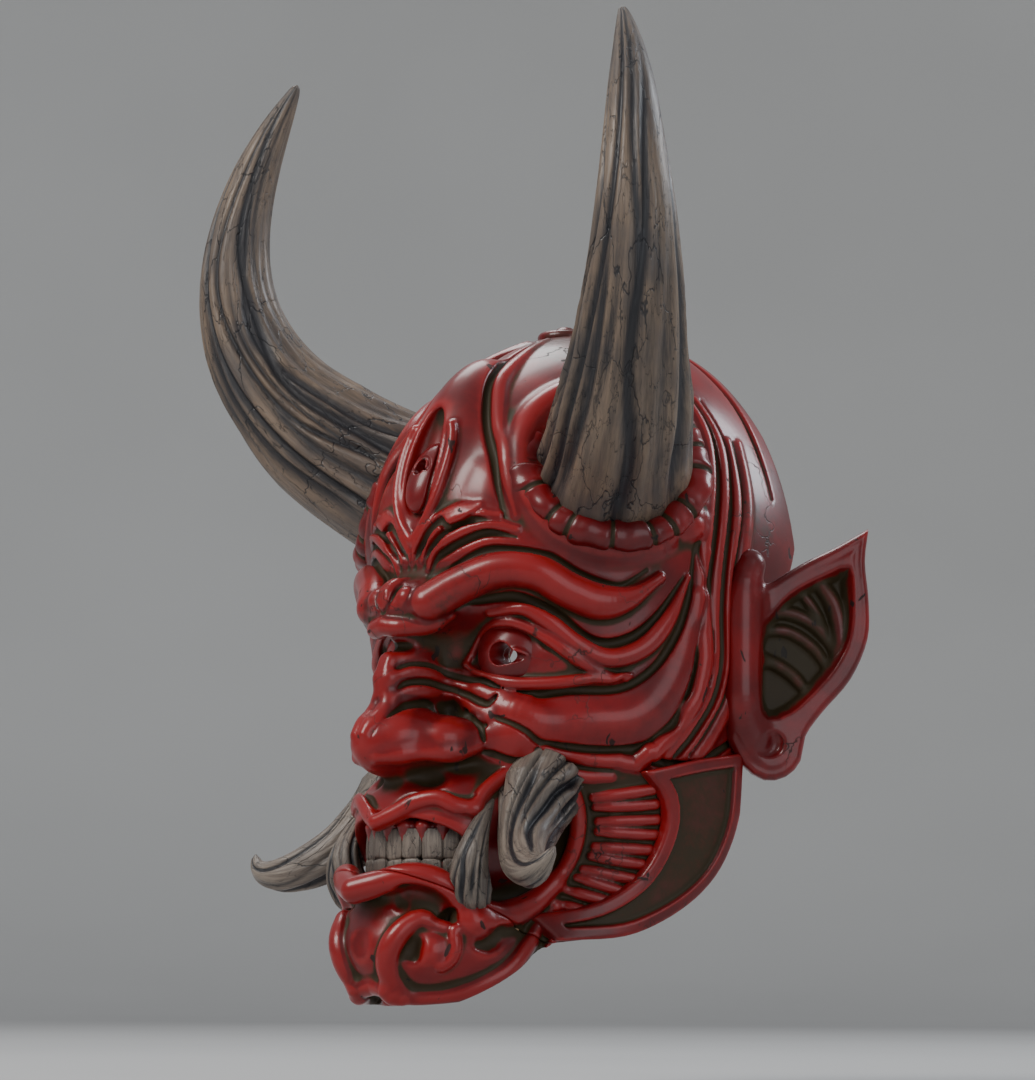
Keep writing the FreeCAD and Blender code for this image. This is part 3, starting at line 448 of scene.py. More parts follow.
def carve_eyes(field):
    """Two lids and the crease in the upper one."""
    ridge(field, UPPER_LID, 2.9, lift=0.3, blend=1.2)
    ridge(field, LOWER_LID, 2.6, lift=0.3, blend=1.2)
    groove(field, LID_CREASE, 1.1, 1.6)


def carve_cheeks(field):
    """The long cheek roll between two channels, and the smile lines below it."""
    ridge(field, between(CHEEK_TOP[1:-1], CHEEK_BOTTOM[1:-1], 0.5), 11, lift=-0.66, blend=3, ends=(0.5, 0.35))
    groove(field, CHEEK_TOP, 1.6, 2.2)
    groove(field, CHEEK_BOTTOM, 2.0, 2.6)
    ridge(field, shifted(CHEEK_BOTTOM[2:], 0.5, 2.5, -4.0), 3.6, lift=-0.4)
    for line in SMILE_LINES:
        groove(field, line, 1.6, 2.0)
    ridge(field, shifted(SMILE_LINES[0], 0, 0, -3.5), 3.4, lift=-0.4)


def carve_temples(field):
    """Long lines down the temple, the channel inside the rim, and the step above the jaw."""
    for line in TEMPLE_LINES:
        ridge(field, shifted(line, 0, -2.8, 0), 4.4, lift=-0.45, ends=(0.3, 0.8))
    for line in TEMPLE_LINES:
        groove(field, line, 1.6, 2.4, ends=(0.3, 0.9))
    ridge(field, shifted(TEMPLE_LINES[2], 0, 4, 0), 4.4, lift=-0.45, ends=(0.3, 0.9))
    groove(field, RIM_GROOVE, 2.0, 2.2, ends=(1, 0.5))
    groove(field, STEP, 1.8, 3.0, ends=(0.8, 0.8))


def carve_nose(field):
    """Folds beside the bridge, the wing's crease and lower edge, and the nostril."""
    for fold in NOSE_SIDE_FOLDS:
        ridge(field, shifted(fold, 0, 0, -3.2), 3.8, lift=-0.4, blend=3)
    for fold in NOSE_SIDE_FOLDS:
        groove(field, fold, 1.5, 2.0, ends=(0.6, 0.3))
    groove(field, WING_CREASE, 1.9, 2.6, ends=(0.3, 0.6))
    ridge(field, WING_EDGE, 3.4, lift=-0.3, blend=3)
    hollow(field, (17, -123, -177), (9, 9, 5), 2.5)
    ridge(field, NOSE_BRIDGE, 4, lift=-0.5, blend=3)


def carve_mouth(field):
    """The open mouth and the tusk's socket, with their lips."""
    hollow(field, (0, -119, -207), (34, 26, 15.5), 2)
    hollow(field, (43, -84, -197), (10, 14, 19), 2)
    ridge(field, UPPER_LIP, 4.0, free=True, ends=(1, 0.9), blend=1.5)
    ridge(field, LIP_RING, 3.4, free=True, ends=(0.9, 0.9), blend=1.5)
    ridge(field, LOWER_LIP, 5.6, free=True, ends=(1, 0.6), blend=5)
    ridge(field, TUSK_SOCKET, 3.4, free=True, blend=3)
    groove(field, shifted(UPPER_LIP, 0, 0.5, 5.5), 1.4, 1.6)
    hollow(field, (0, -135, -184), (4, 4, 7), 3)


def carve_chin(field):
    """The scroll on the chin with its sunk middle, and the chin's lower edge."""
    groove(field, CHIN_HOLLOW, 4.5, 2.2, blend=2)
    add_mass(field, (33, -112, -235), (9, 8, 8), 4)
    hollow(field, (25, -139, -246), (8, 10, 8), 2)
    ridge(field, CHIN_SCROLL, 4.8, lift=0.0, blend=1.5, ends=(0.6, 0.45))
    ridge(field, CHIN_EDGE, 3.4, lift=0.1, ends=(1, 0.5))
    hollow(field, (0, -150, -243), (6, 9, 9), 4)
    ridge(field, CHIN_TIP, 4.0, lift=-0.1, blend=3, ends=(1, 0.6))
    add_mass(field, (26, -125, -247), (5, 6, 6), 4)


def carve_ribs(field):
    """A fan of short ribs between the mouth and the jaw plate."""
    front = smooth_path(RIBS_FRONT)
    back = smooth_path(RIBS_BACK)
    for number in range(RIB_COUNT):
        share = number / (RIB_COUNT - 1)
        start = front[int(share * (len(front) - 1))]
        end = back[int(share * (len(back) - 1))]
        middle = (start + end) / 2
        ridge(field, [start, middle, end], 2.9, lift=-0.1, blend=0.6, ends=(0.75, 0.85))


def sculpt():
    """The whole carved surface, as a solid."""
    field = base_form()
    carve_temples(field)
    carve_horn_seat(field)
    carve_forehead(field)
    carve_cheeks(field)
    carve_brows(field)
    carve_eyes(field)
    carve_nose(field)
    carve_ribs(field)
    carve_mouth(field)
    carve_chin(field)
    return field


def box_blur(values, reach):
    """The mean over a cube of samples."""
    for axis in range(3):
        padded = np.concatenate([
            np.repeat(np.take(values, [0], axis), reach + 1, axis),
            values,
            np.repeat(np.take(values, [-1], axis), reach, axis)], axis)
        total = np.cumsum(padded, axis=axis, dtype=np.float64)
        size = 2 * reach + 1
        ahead = np.take(total, range(size, total.shape[axis]), axis)
        behind = np.take(total, range(0, total.shape[axis] - size), axis)
        values = ((ahead - behind) / size).astype(np.float32)
    return values


# ---------------------------------------------------------------- hollowing and trimming

WALL = 6.0
PROFILE = [(-220, 60), (8, 60), (14, 10), (26, -30), (31, -78), (12, -115), (-8, -160), (-10, -200),
           (-22, -222), (-52, -239), (-79, -243)]
JOINT_REAR = (-79, -243)
JOINT_FRONT = (-220, -177.5)
CHIN_END = [(-220, -272), (-150, -272), (-114, -266.5)]
EYE_SPOT = np.array([35.0, -94.9, -127.0])
EYE_LOOK = np.array([0.482, -0.876, 0.0])
HORN_ROOT = np.array([59.8, -61.6, -51.5])
HORN_LINE = np.array([0.706, -0.533, 0.46])


def outline_distance(u, v, corners):
    """Signed distance in a plane to a closed outline, negative inside."""
    nearest = None
    inside = np.zeros(np.broadcast(u, v).shape, dtype=bool)
    for (au, av), (bu, bv) in zip(corners, corners[1:] + corners[:1]):
        leg_u = bu - au
        leg_v = bv - av
        along = np.clip(((u - au) * leg_u + (v - av) * leg_v) / (leg_u ** 2 + leg_v ** 2), 0, 1)
        gap = np.hypot(u - au - along * leg_u, v - av - along * leg_v)
        nearest = gap if nearest is None else np.minimum(nearest, gap)
        if av != bv:
            crosses = (av > v) != (bv > v)
            inside ^= crosses & (u < au + (v - av) * leg_u / (bv - av))
    return np.where(inside, -nearest, nearest).astype(np.float32)


def box_distance(parts, low, high):
    """Distance to a box between two corners."""
    gaps = [np.abs(part - (a + b) / 2) - (b - a) / 2 for part, a, b in zip(parts, low, high)]
    return np.maximum(np.maximum(gaps[0], gaps[1]), gaps[2])


def rod_distance(parts, start, direction, radius, length):
    """Distance to a straight rod from a start along a direction."""
    offset = [part - value for part, value in zip(parts, start)]
    along = sum(part * value for part, value in zip(offset, direction))
    square = sum(part ** 2 for part in offset) - along ** 2
    across = np.sqrt(np.maximum(square, 0)) - radius
    return np.maximum(across, np.abs(along - length / 2) - length / 2)


def thickened(values, steps=(1, 1, 2)):
    """Each cell's largest value within a cube that reaches as many cells as the steps add up to."""
    grown = values.copy()
    for axis in range(3):
        along = np.moveaxis(grown, axis, 0)
        for step in steps:
            before = along.copy()
            np.maximum(along[step:], before[:-step], out=along[step:])
            np.maximum(along[:-step], before[step:], out=along[:-step])
    return grown


def hollow_out(field):
    """The wooden wall: the carving less the wearer's hollow, with its bosses and sight holes."""
    parts = field.axes()
    cavity = head_distance(*parts) + WALL
    for centre, radii in (((0, -93, -200), (41, 41, 34)), ((0, -102, -245), (41, 47, 32))):
        window, solid = ellipsoid_field(field, centre, np.array(radii) - WALL, 4)
        cavity[window] = smooth_min(cavity[window], solid, 3)
    cavity = smooth_max(cavity, thickened(field.values), 1)
    bosses = (
        box_distance(parts, (76, -14, -130), (120, 6, -102)),
        box_distance(parts, (-14, -21, 8), (14, 3, 30)),
        rod_distance(parts, HORN_ROOT + HORN_LINE * 3 - HORN_LINE * 20, HORN_LINE, 20, 30),
        rod_distance(parts, EYE_SPOT - EYE_LOOK * 11, EYE_LOOK, 18, 14),
    )
    for boss in bosses:
        cavity = np.maximum(cavity, -boss)
    wall = np.maximum(field.values, -cavity)
    sight = rod_distance(parts, (32, -125, -127), (0, 1, 0), 4.5, 60)
    return np.maximum(wall, -sight)


def trimmed(field, wall, corners):
    """The wall inside a side profile, with its edges eased."""
    _, y, z = field.axes()
    profile = outline_distance(y[0], z[0], corners)[None]
    return smooth_max(wall, profile, 1.2)


# ---------------------------------------------------------------- meshes

def polygons(values, low, voxel):
    """Points and faces on the zero level of a grid of distances."""
    grid = openvdb.FloatGrid(FAR)
    grid.copyFromArray(np.ascontiguousarray(values))
    points, triangles, quads = grid.convertToPolygons(isovalue=0.0, adaptivity=0.0)
    points = points.astype(np.float64) * voxel + np.asarray(low)
    return points, triangles, quads


LOOK = "look_"


def mesh_object(name, points, triangles, quads):
    """A smooth-shaded object from arrays in millimetres."""
    count = len(triangles) * 3 + len(quads) * 4
    corners = np.concatenate([np.asarray(triangles).reshape(-1), np.asarray(quads).reshape(-1)])
    sizes = np.concatenate([np.full(len(triangles), 3), np.full(len(quads), 4)])
    starts = np.concatenate([[0], np.cumsum(sizes)[:-1]])
    mesh = bpy.data.meshes.new(name)
    mesh.vertices.add(len(points))
    mesh.vertices.foreach_set("co", (points * MM).astype(np.float32).ravel())
    mesh.loops.add(count)
    mesh.loops.foreach_set("vertex_index", corners.astype(np.int32))
    mesh.polygons.add(len(sizes))
    mesh.polygons.foreach_set("loop_start", starts.astype(np.int32))
    mesh.update(calc_edges=True)
    mesh.validate()
    mesh.shade_smooth()
    piece = bpy.data.objects.new(LOOK + name, mesh)
    bpy.context.collection.objects.link(piece)
    return piece


def face_outwards(piece):
    """Turns every face of a closed mesh to look outwards."""
    mesh = piece.data
    mesh.calc_loop_triangles()
    corners = np.empty(len(mesh.loop_triangles) * 3, dtype=np.int32)
    mesh.loop_triangles.foreach_get("vertices", corners)
    places = np.empty(len(mesh.vertices) * 3, dtype=np.float32)
    mesh.vertices.foreach_get("co", places)
    places = places.reshape(-1, 3)
    a, b, c = places[corners.reshape(-1, 3)].transpose(1, 0, 2)
    if np.einsum("ij,ij->i", a, np.cross(b, c)).sum() < 0:
        mesh.flip_normals()
    return piece


def store(piece, name, values):
    """Keeps one number for each vertex under a name that materials can read."""
    layer = piece.data.attributes.new(name, "FLOAT", "POINT")
    layer.data.foreach_set("value", np.asarray(values, dtype=np.float32))


def store_vector(piece, name, values):
    """Keeps one vector for each vertex under a name that materials can read."""
    layer = piece.data.attributes.new(name, "FLOAT_VECTOR", "POINT")
    layer.data.foreach_set("vector", np.asarray(values, dtype=np.float32).ravel())


MIDDLE = int(round(-FIELD_LOW[0] / VOXEL))


def both_halves(values):
    """A half head's samples with their mirror image, whose middle plane is sample MIDDLE."""
    return np.concatenate([values[:MIDDLE:-1], values[MIDDLE:]])


def carved_piece(name, field, values, recess):
    """A mesh of both halves, with how deep each spot lies among its surroundings."""
    whole = both_halves(values)
    reach = (field.count[0] - 1 - MIDDLE) * VOXEL
    low = np.array([-reach, field.low[1], field.low[2]])
    points, triangles, quads = polygons(whole, low, VOXEL)
    piece = face_outwards(mesh_object(name, points, triangles, quads))
    folded = points.copy()
    folded[:, 0] = np.abs(folded[:, 0])
    store(piece, "cavity", field.sample(folded, recess))
    return piece


def half_piece(name, field, values, place=None, stain=0.0):
    """A mesh of a local field, optionally carried by a function from local to mask coordinates."""
    points, triangles, quads = polygons(values, field.low, field.voxel)
    recess = values - box_blur(values, 3) + stain
    depth = field.sample(points, recess)
    if place is not None:
        points = place(points)
    piece = face_outwards(mesh_object(name, points, triangles, quads))
    store(piece, "cavity", depth)
    return piece


def mirror_of(piece):
    """The right-hand twin of a left-hand piece."""
    mesh = piece.data.copy()
    mesh.transform(Matrix.Diagonal((-1, 1, 1, 1)))
    mesh.flip_normals()
    twin = bpy.data.objects.new(piece.name.replace("_left", "_right"), mesh)
    mesh.name = twin.name
    bpy.context.collection.objects.link(twin)
    return twin


def grid_object(name, rows, caps=True):
    """A mesh over rows of points, each row a ring, optionally capped by a fan at both ends."""
    rings, around = rows.shape[:2]
    points = rows.reshape(-1, 3)
    index = np.arange(rings * around).reshape(rings, around)
    ahead = np.roll(index, -1, axis=1)
    quads = np.stack([index[:-1], ahead[:-1], ahead[1:], index[1:]], axis=-1).reshape(-1, 4)
    triangles = np.empty((0, 3), dtype=int)
    if caps:
        ends = np.array([rows[0].mean(axis=0), rows[-1].mean(axis=0)])
        points = np.vstack([points, ends])
        foot = np.full(around, rings * around)
        tip = foot + 1
        triangles = np.vstack([
            np.column_stack([ahead[0], index[0], foot]), np.column_stack([index[-1], ahead[-1], tip])])
    return face_outwards(mesh_object(name, points, triangles, quads))


# ---------------------------------------------------------------- horns and tusks

HORN_CURVE = [(59.8, -61.6, -51.5), (104.9, -95.7, -22.1), (158.2, -140.8, 20.2), (102.1, -93.8, 120.5),
              (99.4, -96.6, 127)]
HORN_RADIUS = 32.8
HORN_TAPER = (1, 0.92, 0.855, 0.74, 0.645, 0.55, 0.47, 0.385, 0.3, 0.205, 0.11, 0.03)
CURLED_CURVE = [(42, -77, -175), (43, -90, -190), (54, -112, -216), (84, -128, -224), (90, -121, -206)]
CURLED_RADIUS = 19.5
CURLED_TAPER = (0.82, 0.88, 0.7, 0.56, 0.48, 0.38, 0.24, 0.06)
LOWER_CURVE = [(34, -110, -227), (38, -121, -221), (41, -120, -200), (34, -100, -183.5)]
LOWER_RADIUS = 9.0
LOWER_TAPER = (0.7, 0.93, 0.92, 0.78, 0.56, 0.32, 0.08)


def curve_points(controls, shares):
    """Points of a Bezier curve."""
    layers = [np.array(point, dtype=float)[None] * np.ones((len(shares), 1)) for point in controls]
    s = np.asarray(shares)[:, None]
    while len(layers) > 1:
        layers = [a * (1 - s) + b * s for a, b in zip(layers, layers[1:])]
    return layers[0]


def carried_frames(path):
    """Two directions across a path at each of its points, carried along without twisting."""
    ahead = np.gradient(path, axis=0)
    ahead /= np.linalg.norm(ahead, axis=1)[:, None]
    side = np.cross(ahead[0], (0, 1, 0))
    side /= np.linalg.norm(side)
    sides = []
    for direction in ahead:
        side = side - direction * (side @ direction)
        side /= np.linalg.norm(side)
        sides.append(side)
    sides = np.array(sides)
    return sides, np.cross(ahead, sides)


def grown_piece(name, controls, radius, taper, flutes, seed, twist=0.0, around=168, along=240, depth=0.1,
                root_depth=0.1, tip=0.004):
    """A horn, tusk or fang: a tapering stem with wandering grooves along its grain."""
    random = np.random.default_rng(seed)
    shares = np.linspace(0, 1, along) ** 0.9
    path = curve_points(controls, shares)
    across, up = carried_frames(path)
    size = radius * np.interp(shares, np.linspace(0, 1, len(taper)), taper)
    size[-8:] *= np.sqrt(np.linspace(1, tip, 8))
    angle = np.linspace(0, 2 * math.pi, around, endpoint=False)
    groove_depth = np.zeros((along, around))
    for number in range(flutes):
        centre = 2 * math.pi * (number + random.uniform(-0.35, 0.35)) / flutes
        wander = random.uniform(0.5, 1.4) * shares * 3 + random.uniform(0, 6)
        line = centre + twist * shares + 0.12 * np.sin(wander * 2.1) + 0.06 * np.sin(wander * 5.3)
        width = random.uniform(0.05, 0.15) * (1 + 0.6 * shares)
        strength = random.uniform(0.35, 1.0)
        start = random.uniform(-0.3, 0.25)
        end = random.uniform(0.45, 1.25)
        life = np.clip((shares - start) / 0.15, 0, 1) * np.clip((end - shares) / 0.25, 0, 1)
        offset = (angle[None] - line[:, None] + math.pi) % (2 * math.pi) - math.pi
        cut = np.exp(-(offset / width[:, None]) ** 2) * strength * life[:, None]
        groove_depth = np.maximum(groove_depth, cut)
    swell = np.zeros((along, around))
    for number in range(5):
        turn = random.integers(2, 7)
        phase = twist * shares[:, None] * turn + random.uniform(0, 6)
        swell += np.sin(turn * angle[None] + phase) / (5 + turn)
    fade = (root_depth * (1 - shares) + depth * shares)[:, None]
    reach = size[:, None] * (1 + fade * (0.55 * swell - 1.2 * groove_depth))
    rows = (
        path[:, None] + across[:, None] * (reach * np.cos(angle))[..., None]
        + up[:, None] * (reach * np.sin(angle))[..., None])
    piece = grid_object(name, rows)
    store(piece, "cavity", np.append((groove_depth - 0.15 * swell).ravel(), (0, 0)))
    length = np.concatenate([[0], np.cumsum(np.linalg.norm(np.diff(path, axis=0), axis=1))])
    grain = np.stack([
        np.broadcast_to(np.cos(angle), (along, around)) * (0.3 + 0.7 * size[:, None] / radius),
        np.broadcast_to(np.sin(angle), (along, around)) * (0.3 + 0.7 * size[:, None] / radius),
        np.broadcast_to(length[:, None] / radius, (along, around)),
    ], axis=-1).reshape(-1, 3)
    store_vector(piece, "grain", np.vstack([grain, np.zeros((2, 3))]))
    return piece


def make_collar():
    """The ring of small carved folds round a horn's root."""
    random = np.random.default_rng(21)
    folds = 17
    around, section = 380, 40
    line, side, up = horn_directions()
    turn = np.linspace(0, 2 * math.pi, around, endpoint=False)
    edges = np.sort((np.arange(folds) + random.uniform(-0.3, 0.3, folds)) / folds) * 2 * math.pi
    gap = np.abs((turn[:, None] - edges[None] + math.pi) % (2 * math.pi) - math.pi).min(axis=1)
    crease = np.exp(-(gap / 0.03) ** 2)
    heights = random.uniform(0.84, 1.12, folds)
    number = np.searchsorted(edges, turn) % folds
    smooth = np.convolve(np.tile(heights[number], 3), np.ones(9) / 9, "same")[around:2 * around]
    angle = np.linspace(0, 2 * math.pi, section, endpoint=False)
    thick = 6.6 * smooth * (1 - 0.2 * crease)
    ring = 34.4 + 0.8 * np.sin(3 * turn + 1) + 0.5 * np.sin(7 * turn)
    lumps = 1 + 0.05 * np.sin(9 * turn[:, None] + 2 * angle) + 0.04 * np.sin(23 * turn[:, None] - angle)
    out = ring[:, None] + thick[:, None] * lumps * np.cos(angle) * 1.05
    rise = 2.6 + thick[:, None] * lumps * np.sin(angle) * 0.9
    direction = side * np.cos(turn)[:, None] + up * np.sin(turn)[:, None]
    rows = HORN_ROOT + direction[:, None] * out[..., None] + line * rise[..., None]
    rows = np.concatenate([rows, rows[:1]])
    piece = grid_object("horn_collar_left", rows, caps=False)
    depth = np.broadcast_to(crease[:, None], (around, section)) * 1.0
    store(piece, "cavity", np.concatenate([depth, depth[:1]]).ravel())
    weld(piece)
    return piece


def weld(piece):
    """Joins the doubled points where a ring closes on itself."""
    work = bmesh.new()
    work.from_mesh(piece.data)
    bmesh.ops.remove_doubles(work, verts=work.verts, dist=1e-6)
    work.to_mesh(piece.data)
    work.free()


# ---------------------------------------------------------------- ears and jaw plates

EAR_ROOT = np.array([82.0, -8.0, 0.0])
EAR_FLARE = np.array([0.643, 0.766, 0.0])
EAR_FACE = np.array([0.766, -0.643, 0.0])
EAR_HALF_THICKNESS = 4.8
EAR_ROUNDING = 3.6
EAR_DISH_DEPTH = 7.2
EAR_RIDGE_LEVEL = -1.9
EAR_OUTLINE = ([(-6, -118), (1, -106), (9.5, -97), (24, -87.5), (38, -80.5), (52, -72.5)],
               [(52, -72.5), (50.5, -86), (52, -102), (51.5, -118), (44.5, -134.5), (33, -148), (26, -158),
                (24, -168), (18, -174.5), (9, -176), (0, -170), (-6, -160)],
               [(-6, -160), (-6, -118)])
EAR_HOLLOW = [(8, -112), (19, -99.5), (34, -91.5), (44, -88.5), (45.5, -102), (44, -118), (38, -130.5),
              (29, -141), (20, -149), (10, -152), (4, -143), (3, -127), (8, -112)]
EAR_RIDGES = [
    ([(31, -93), (38, -104), (40.5, -116), (39, -128), (31, -139), (22, -147)], 3.8),
    ([(7, -109), (18, -107), (30, -112), (38, -122)], 2.8),
    ([(6, -115), (19, -115), (30, -122), (36, -131)], 2.4),
    ([(3, -126), (12, -127.5), (21, -133), (28, -141)], 2.6),
    ([(24, -98), (30, -106), (34, -114)], 2.0),
]


def rounded(parts, radius):
    """Distance to a solid whose faces are given by distances, with its edges rounded."""
    shifted = [part + radius for part in parts]
    outside = np.sqrt(sum(np.maximum(part, 0) ** 2 for part in shifted))
    return outside + np.minimum(np.maximum.reduce(np.broadcast_arrays(*shifted)), 0) - radius


def make_ear():
    """The left ear, modelled flat and then stood against the head."""
    field = Field((-13, -180, -10), (58, -69, 16), 0.6)
    u, v, n = field.axes()
    outline = outline_distance(u[..., 0], v[..., 0], curved_outline(*EAR_OUTLINE))[..., None]
    inner = outline_distance(u[..., 0], v[..., 0], curved_outline(EAR_HOLLOW))[..., None]
    dish = 0.0016 * (u - 20) ** 2 + 0.0005 * (v + 122) ** 2 - 1.6
    slab = np.abs(n - dish * 0.6) - EAR_HALF_THICKNESS
    field.values[:] = rounded([outline, slab], EAR_ROUNDING)
    floor = 4.5 + np.maximum(1.5 * inner, -EAR_DISH_DEPTH)
    field.values[:] = smooth_max(field.values, -np.maximum(inner - 1.5, floor - n).astype(np.float32), 1.0)
    channel = np.hypot(np.maximum(np.abs(outline + EAR_ROUNDING) - 0.2, 0), n - 6.4) - 2.1
    field.values[:] = smooth_max(field.values, -channel, 0.8)
    for line, radius in EAR_RIDGES:
        path = smooth_path([(a, b, EAR_RIDGE_LEVEL) for a, b in line])
        radii = radius * end_profile(len(path), (0.85, 0.7))
        window, solid = tube_field(field, path, radii, 3)
        add(field, window, solid, 2)
    hollow(field, (9.5, -161, 5.6), (7.6, 6.4, 5.4), 1.0)
    root = [(3, -88, 0), (0, -99, 2.6), (-0.5, -124, 2.8), (0, -147, 2.8), (5, -159, 0.5)]
    ridge(field, root, 8.4, free=True, blend=6, ends=(0.8, 0.75))
    across = EAR_ROOT[0] + EAR_FLARE[0] * u + EAR_FACE[0] * n
    along = EAR_ROOT[1] + EAR_FLARE[1] * u + EAR_FACE[1] * n
    field.values[:] = np.maximum(field.values, -head_distance(across, along, v) - 1.5)

    def place(points):
        return (
            EAR_ROOT + points[:, :1] * EAR_FLARE + points[:, 1:2] * np.array([0, 0, 1.0])
            + points[:, 2:] * EAR_FACE)

    dished = np.clip(-inner / 5, 0, 1) * np.clip((4.5 - n) / 4, 0, 1)
    return half_piece("ear_left", field, field.values, place=place, stain=0.8 * dished)


JAW_BORDER = 4.6
JAW_THICKNESS = 5.2
JAW_SINK = 2.2
JAW_OUTLINE = ([(-55, -174), (-45.5, -185), (-44, -198), (-51, -215), (-67, -227), (-86, -231.5)],
               [(-86, -231.5), (-79, -242)],
               [(-79, -242), (-52, -238.5), (-24, -222), (-11, -200), (-9, -165)],
               [(-9, -165), (-32, -168.5), (-55, -174)])


def curved_outline(*runs):
    """A closed outline made of smooth runs that meet at corners."""
    corners = []
    for run in runs:
        corners += [tuple(point) for point in smooth_path(run, 4.0)[:-1]]
    return corners


def make_jaw_plate():
    """The left jaw plate: a strip that follows the skin, with a raised border round a sunk panel."""
    field = Field((38, -96, -250), (92, 0, -156), 0.6)
    x, y, z = field.axes()
    skin = head_distance(x, y, z)
    profile = outline_distance(y[0], z[0], curved_outline(*JAW_OUTLINE))[None]
    sunk = np.clip((-profile - JAW_BORDER) / 1.4, 0, 1)
    top = JAW_THICKNESS - JAW_SINK * eased(sunk)
    field.values[:] = rounded([profile + 0 * skin, np.abs(skin - top / 2 - 0.2) - top / 2], 1.4)
    return half_piece("jaw_plate_left", field, field.values, stain=0.62 * sunk)


# ---------------------------------------------------------------- eyes, teeth and gums

def make_eye():
    """The left eye: a domed disc with a comma-shaped pupil open to the sight hole."""
    field = Field((14, -116, -146), (58, -76, -108), 0.5)
    parts = field.axes()
    dome = np.sqrt(sum((part - value) ** 2 for part, value in zip(parts, EYE_SPOT - EYE_LOOK * 19))) - 21.5
    rod = rod_distance(parts, EYE_SPOT - EYE_LOOK * 7, EYE_LOOK, 13.9, 20)
    field.values[:] = smooth_max(dome, rod, 0.8)
    ridge(field, [(47, -95, -128), (42, -98, -126), (38, -99, -127)], 1.0, lift=0.0)
    pupil = rod_distance(parts, (33, -130, -127), (0, 1, 0), 4.6, 90)
    tail_path = [(33 + 2.6 * k, -97.5 + 1.2 * k, -127.5 - 0.4 * k) for k in range(5)]
    tail_window, tail = tube_field(field, tail_path, [4.2, 3.4, 2.5, 1.6, 0.8], 3)
    field.values[:] = np.maximum(field.values, -pupil)
    carve(field, tail_window, tail, 0.6)
    return half_piece("eye_left", field, field.values)


def make_third_eye():
    """The upright eye in the middle of the forehead."""
    field = Field((-13, -124, -80), (13, -88, -30), 0.5)
    window, solid = ellipsoid_field(field, (0, -106.5, -54), (9.2, 7.6, 17), 1, (-28, 0, 0))
    field.values[window] = solid
    lid = [(0, -98, -36), (5, -105, -42), (6.5, -111, -54), (4, -113, -66), (0, -113, -72), (-4, -113, -66),
           (-6.5, -111, -54), (-5, -105, -42), (0, -98, -36)]
    groove(field, lid, 0.9, 1.0, blend=0.4, ends=(1, 1))
    hollow(field, (0, -112, -50), (3.0, 6, 3.4), 0.6)
    turns = np.linspace(0, 2 * math.pi, 13)
    iris = [(4.6 * math.sin(turn), -111, -50 + 5.4 * math.cos(turn)) for turn in turns]
    groove(field, smooth_path(iris), 0.6, 0.7, blend=0.3, ends=(1, 1))
    return half_piece("third_eye", field, field.values)


def make_crown_boss():
    """The small knob on the crown, in a carved cup."""
    field = Field((-15, -45, 0), (15, -15, 22), 0.5)
    window, solid = ellipsoid_field(field, (0, -30, 11.5), (6.2, 6.2, 6.0), 1)
    field.values[window] = solid
    turns = np.linspace(0, 2 * math.pi, 17)
    ring = smooth_path([(9.2 * math.sin(turn), -30 + 9.2 * math.cos(turn), 12.2) for turn in turns])
    window, solid = tube_field(field, ring, np.full(len(ring), 2.6), 3)
    add(field, window, solid, 1.2)
    hollow(field, (0, -30, 18.6), (2.4, 2.4, 2.2), 0.6)
    return half_piece("crown_boss", field, field.values)


ARCH_RADIUS = 30.0
ARCH_CENTRE = np.array([0.0, -98.0])
TEETH = 8
TOOTH_PITCH = 16.04
UPPER_ROOT = -197.6
LOWER_ROOT = -221.9
TOOTH_LENGTH = 12.0


def tooth_rows(random, width, depth, length):
    """Rings of a tooth that stands on its root and grows along Z."""
    rings, around = 20, 36
    share = np.linspace(0, 1, rings)
    angle = np.linspace(0, 2 * math.pi, around, endpoint=False)
    square = 0.36
    cos, sin = np.cos(angle), np.sin(angle)
    flat_x = np.sign(cos) * np.abs(cos) ** square
    flat_y = np.sign(sin) * np.abs(sin) ** square
    swell = 0.8 + 0.25 * np.sin(np.clip(share * 1.25, 0, 1) * math.pi * 0.62)
    tip = np.sqrt(np.clip(1 - ((share - 0.86) / 0.15).clip(0) ** 2, 0.0, 1))
    scale = swell * (0.25 + 0.75 * tip)
    scratch = 1 + 0.035 * np.sin(angle * 9 + random.uniform(0, 6))
    scratch += 0.02 * np.sin(angle * 17 + random.uniform(0, 6))
    lean = random.uniform(-0.45, 0.45)
    x = 0.5 * width * scale[:, None] * flat_x * scratch + lean * share[:, None]
    y = 0.5 * depth * scale[:, None] * flat_y * scratch
    wear_and_highlight = 0.35 * np.sin(angle * 2 + random.uniform(0, 6)) * (share[:, None] > 0.8)
    z = np.broadcast_to((share * length)[:, None], x.shape) + wear_and_highlight
    return np.stack([x, y, z], axis=-1)


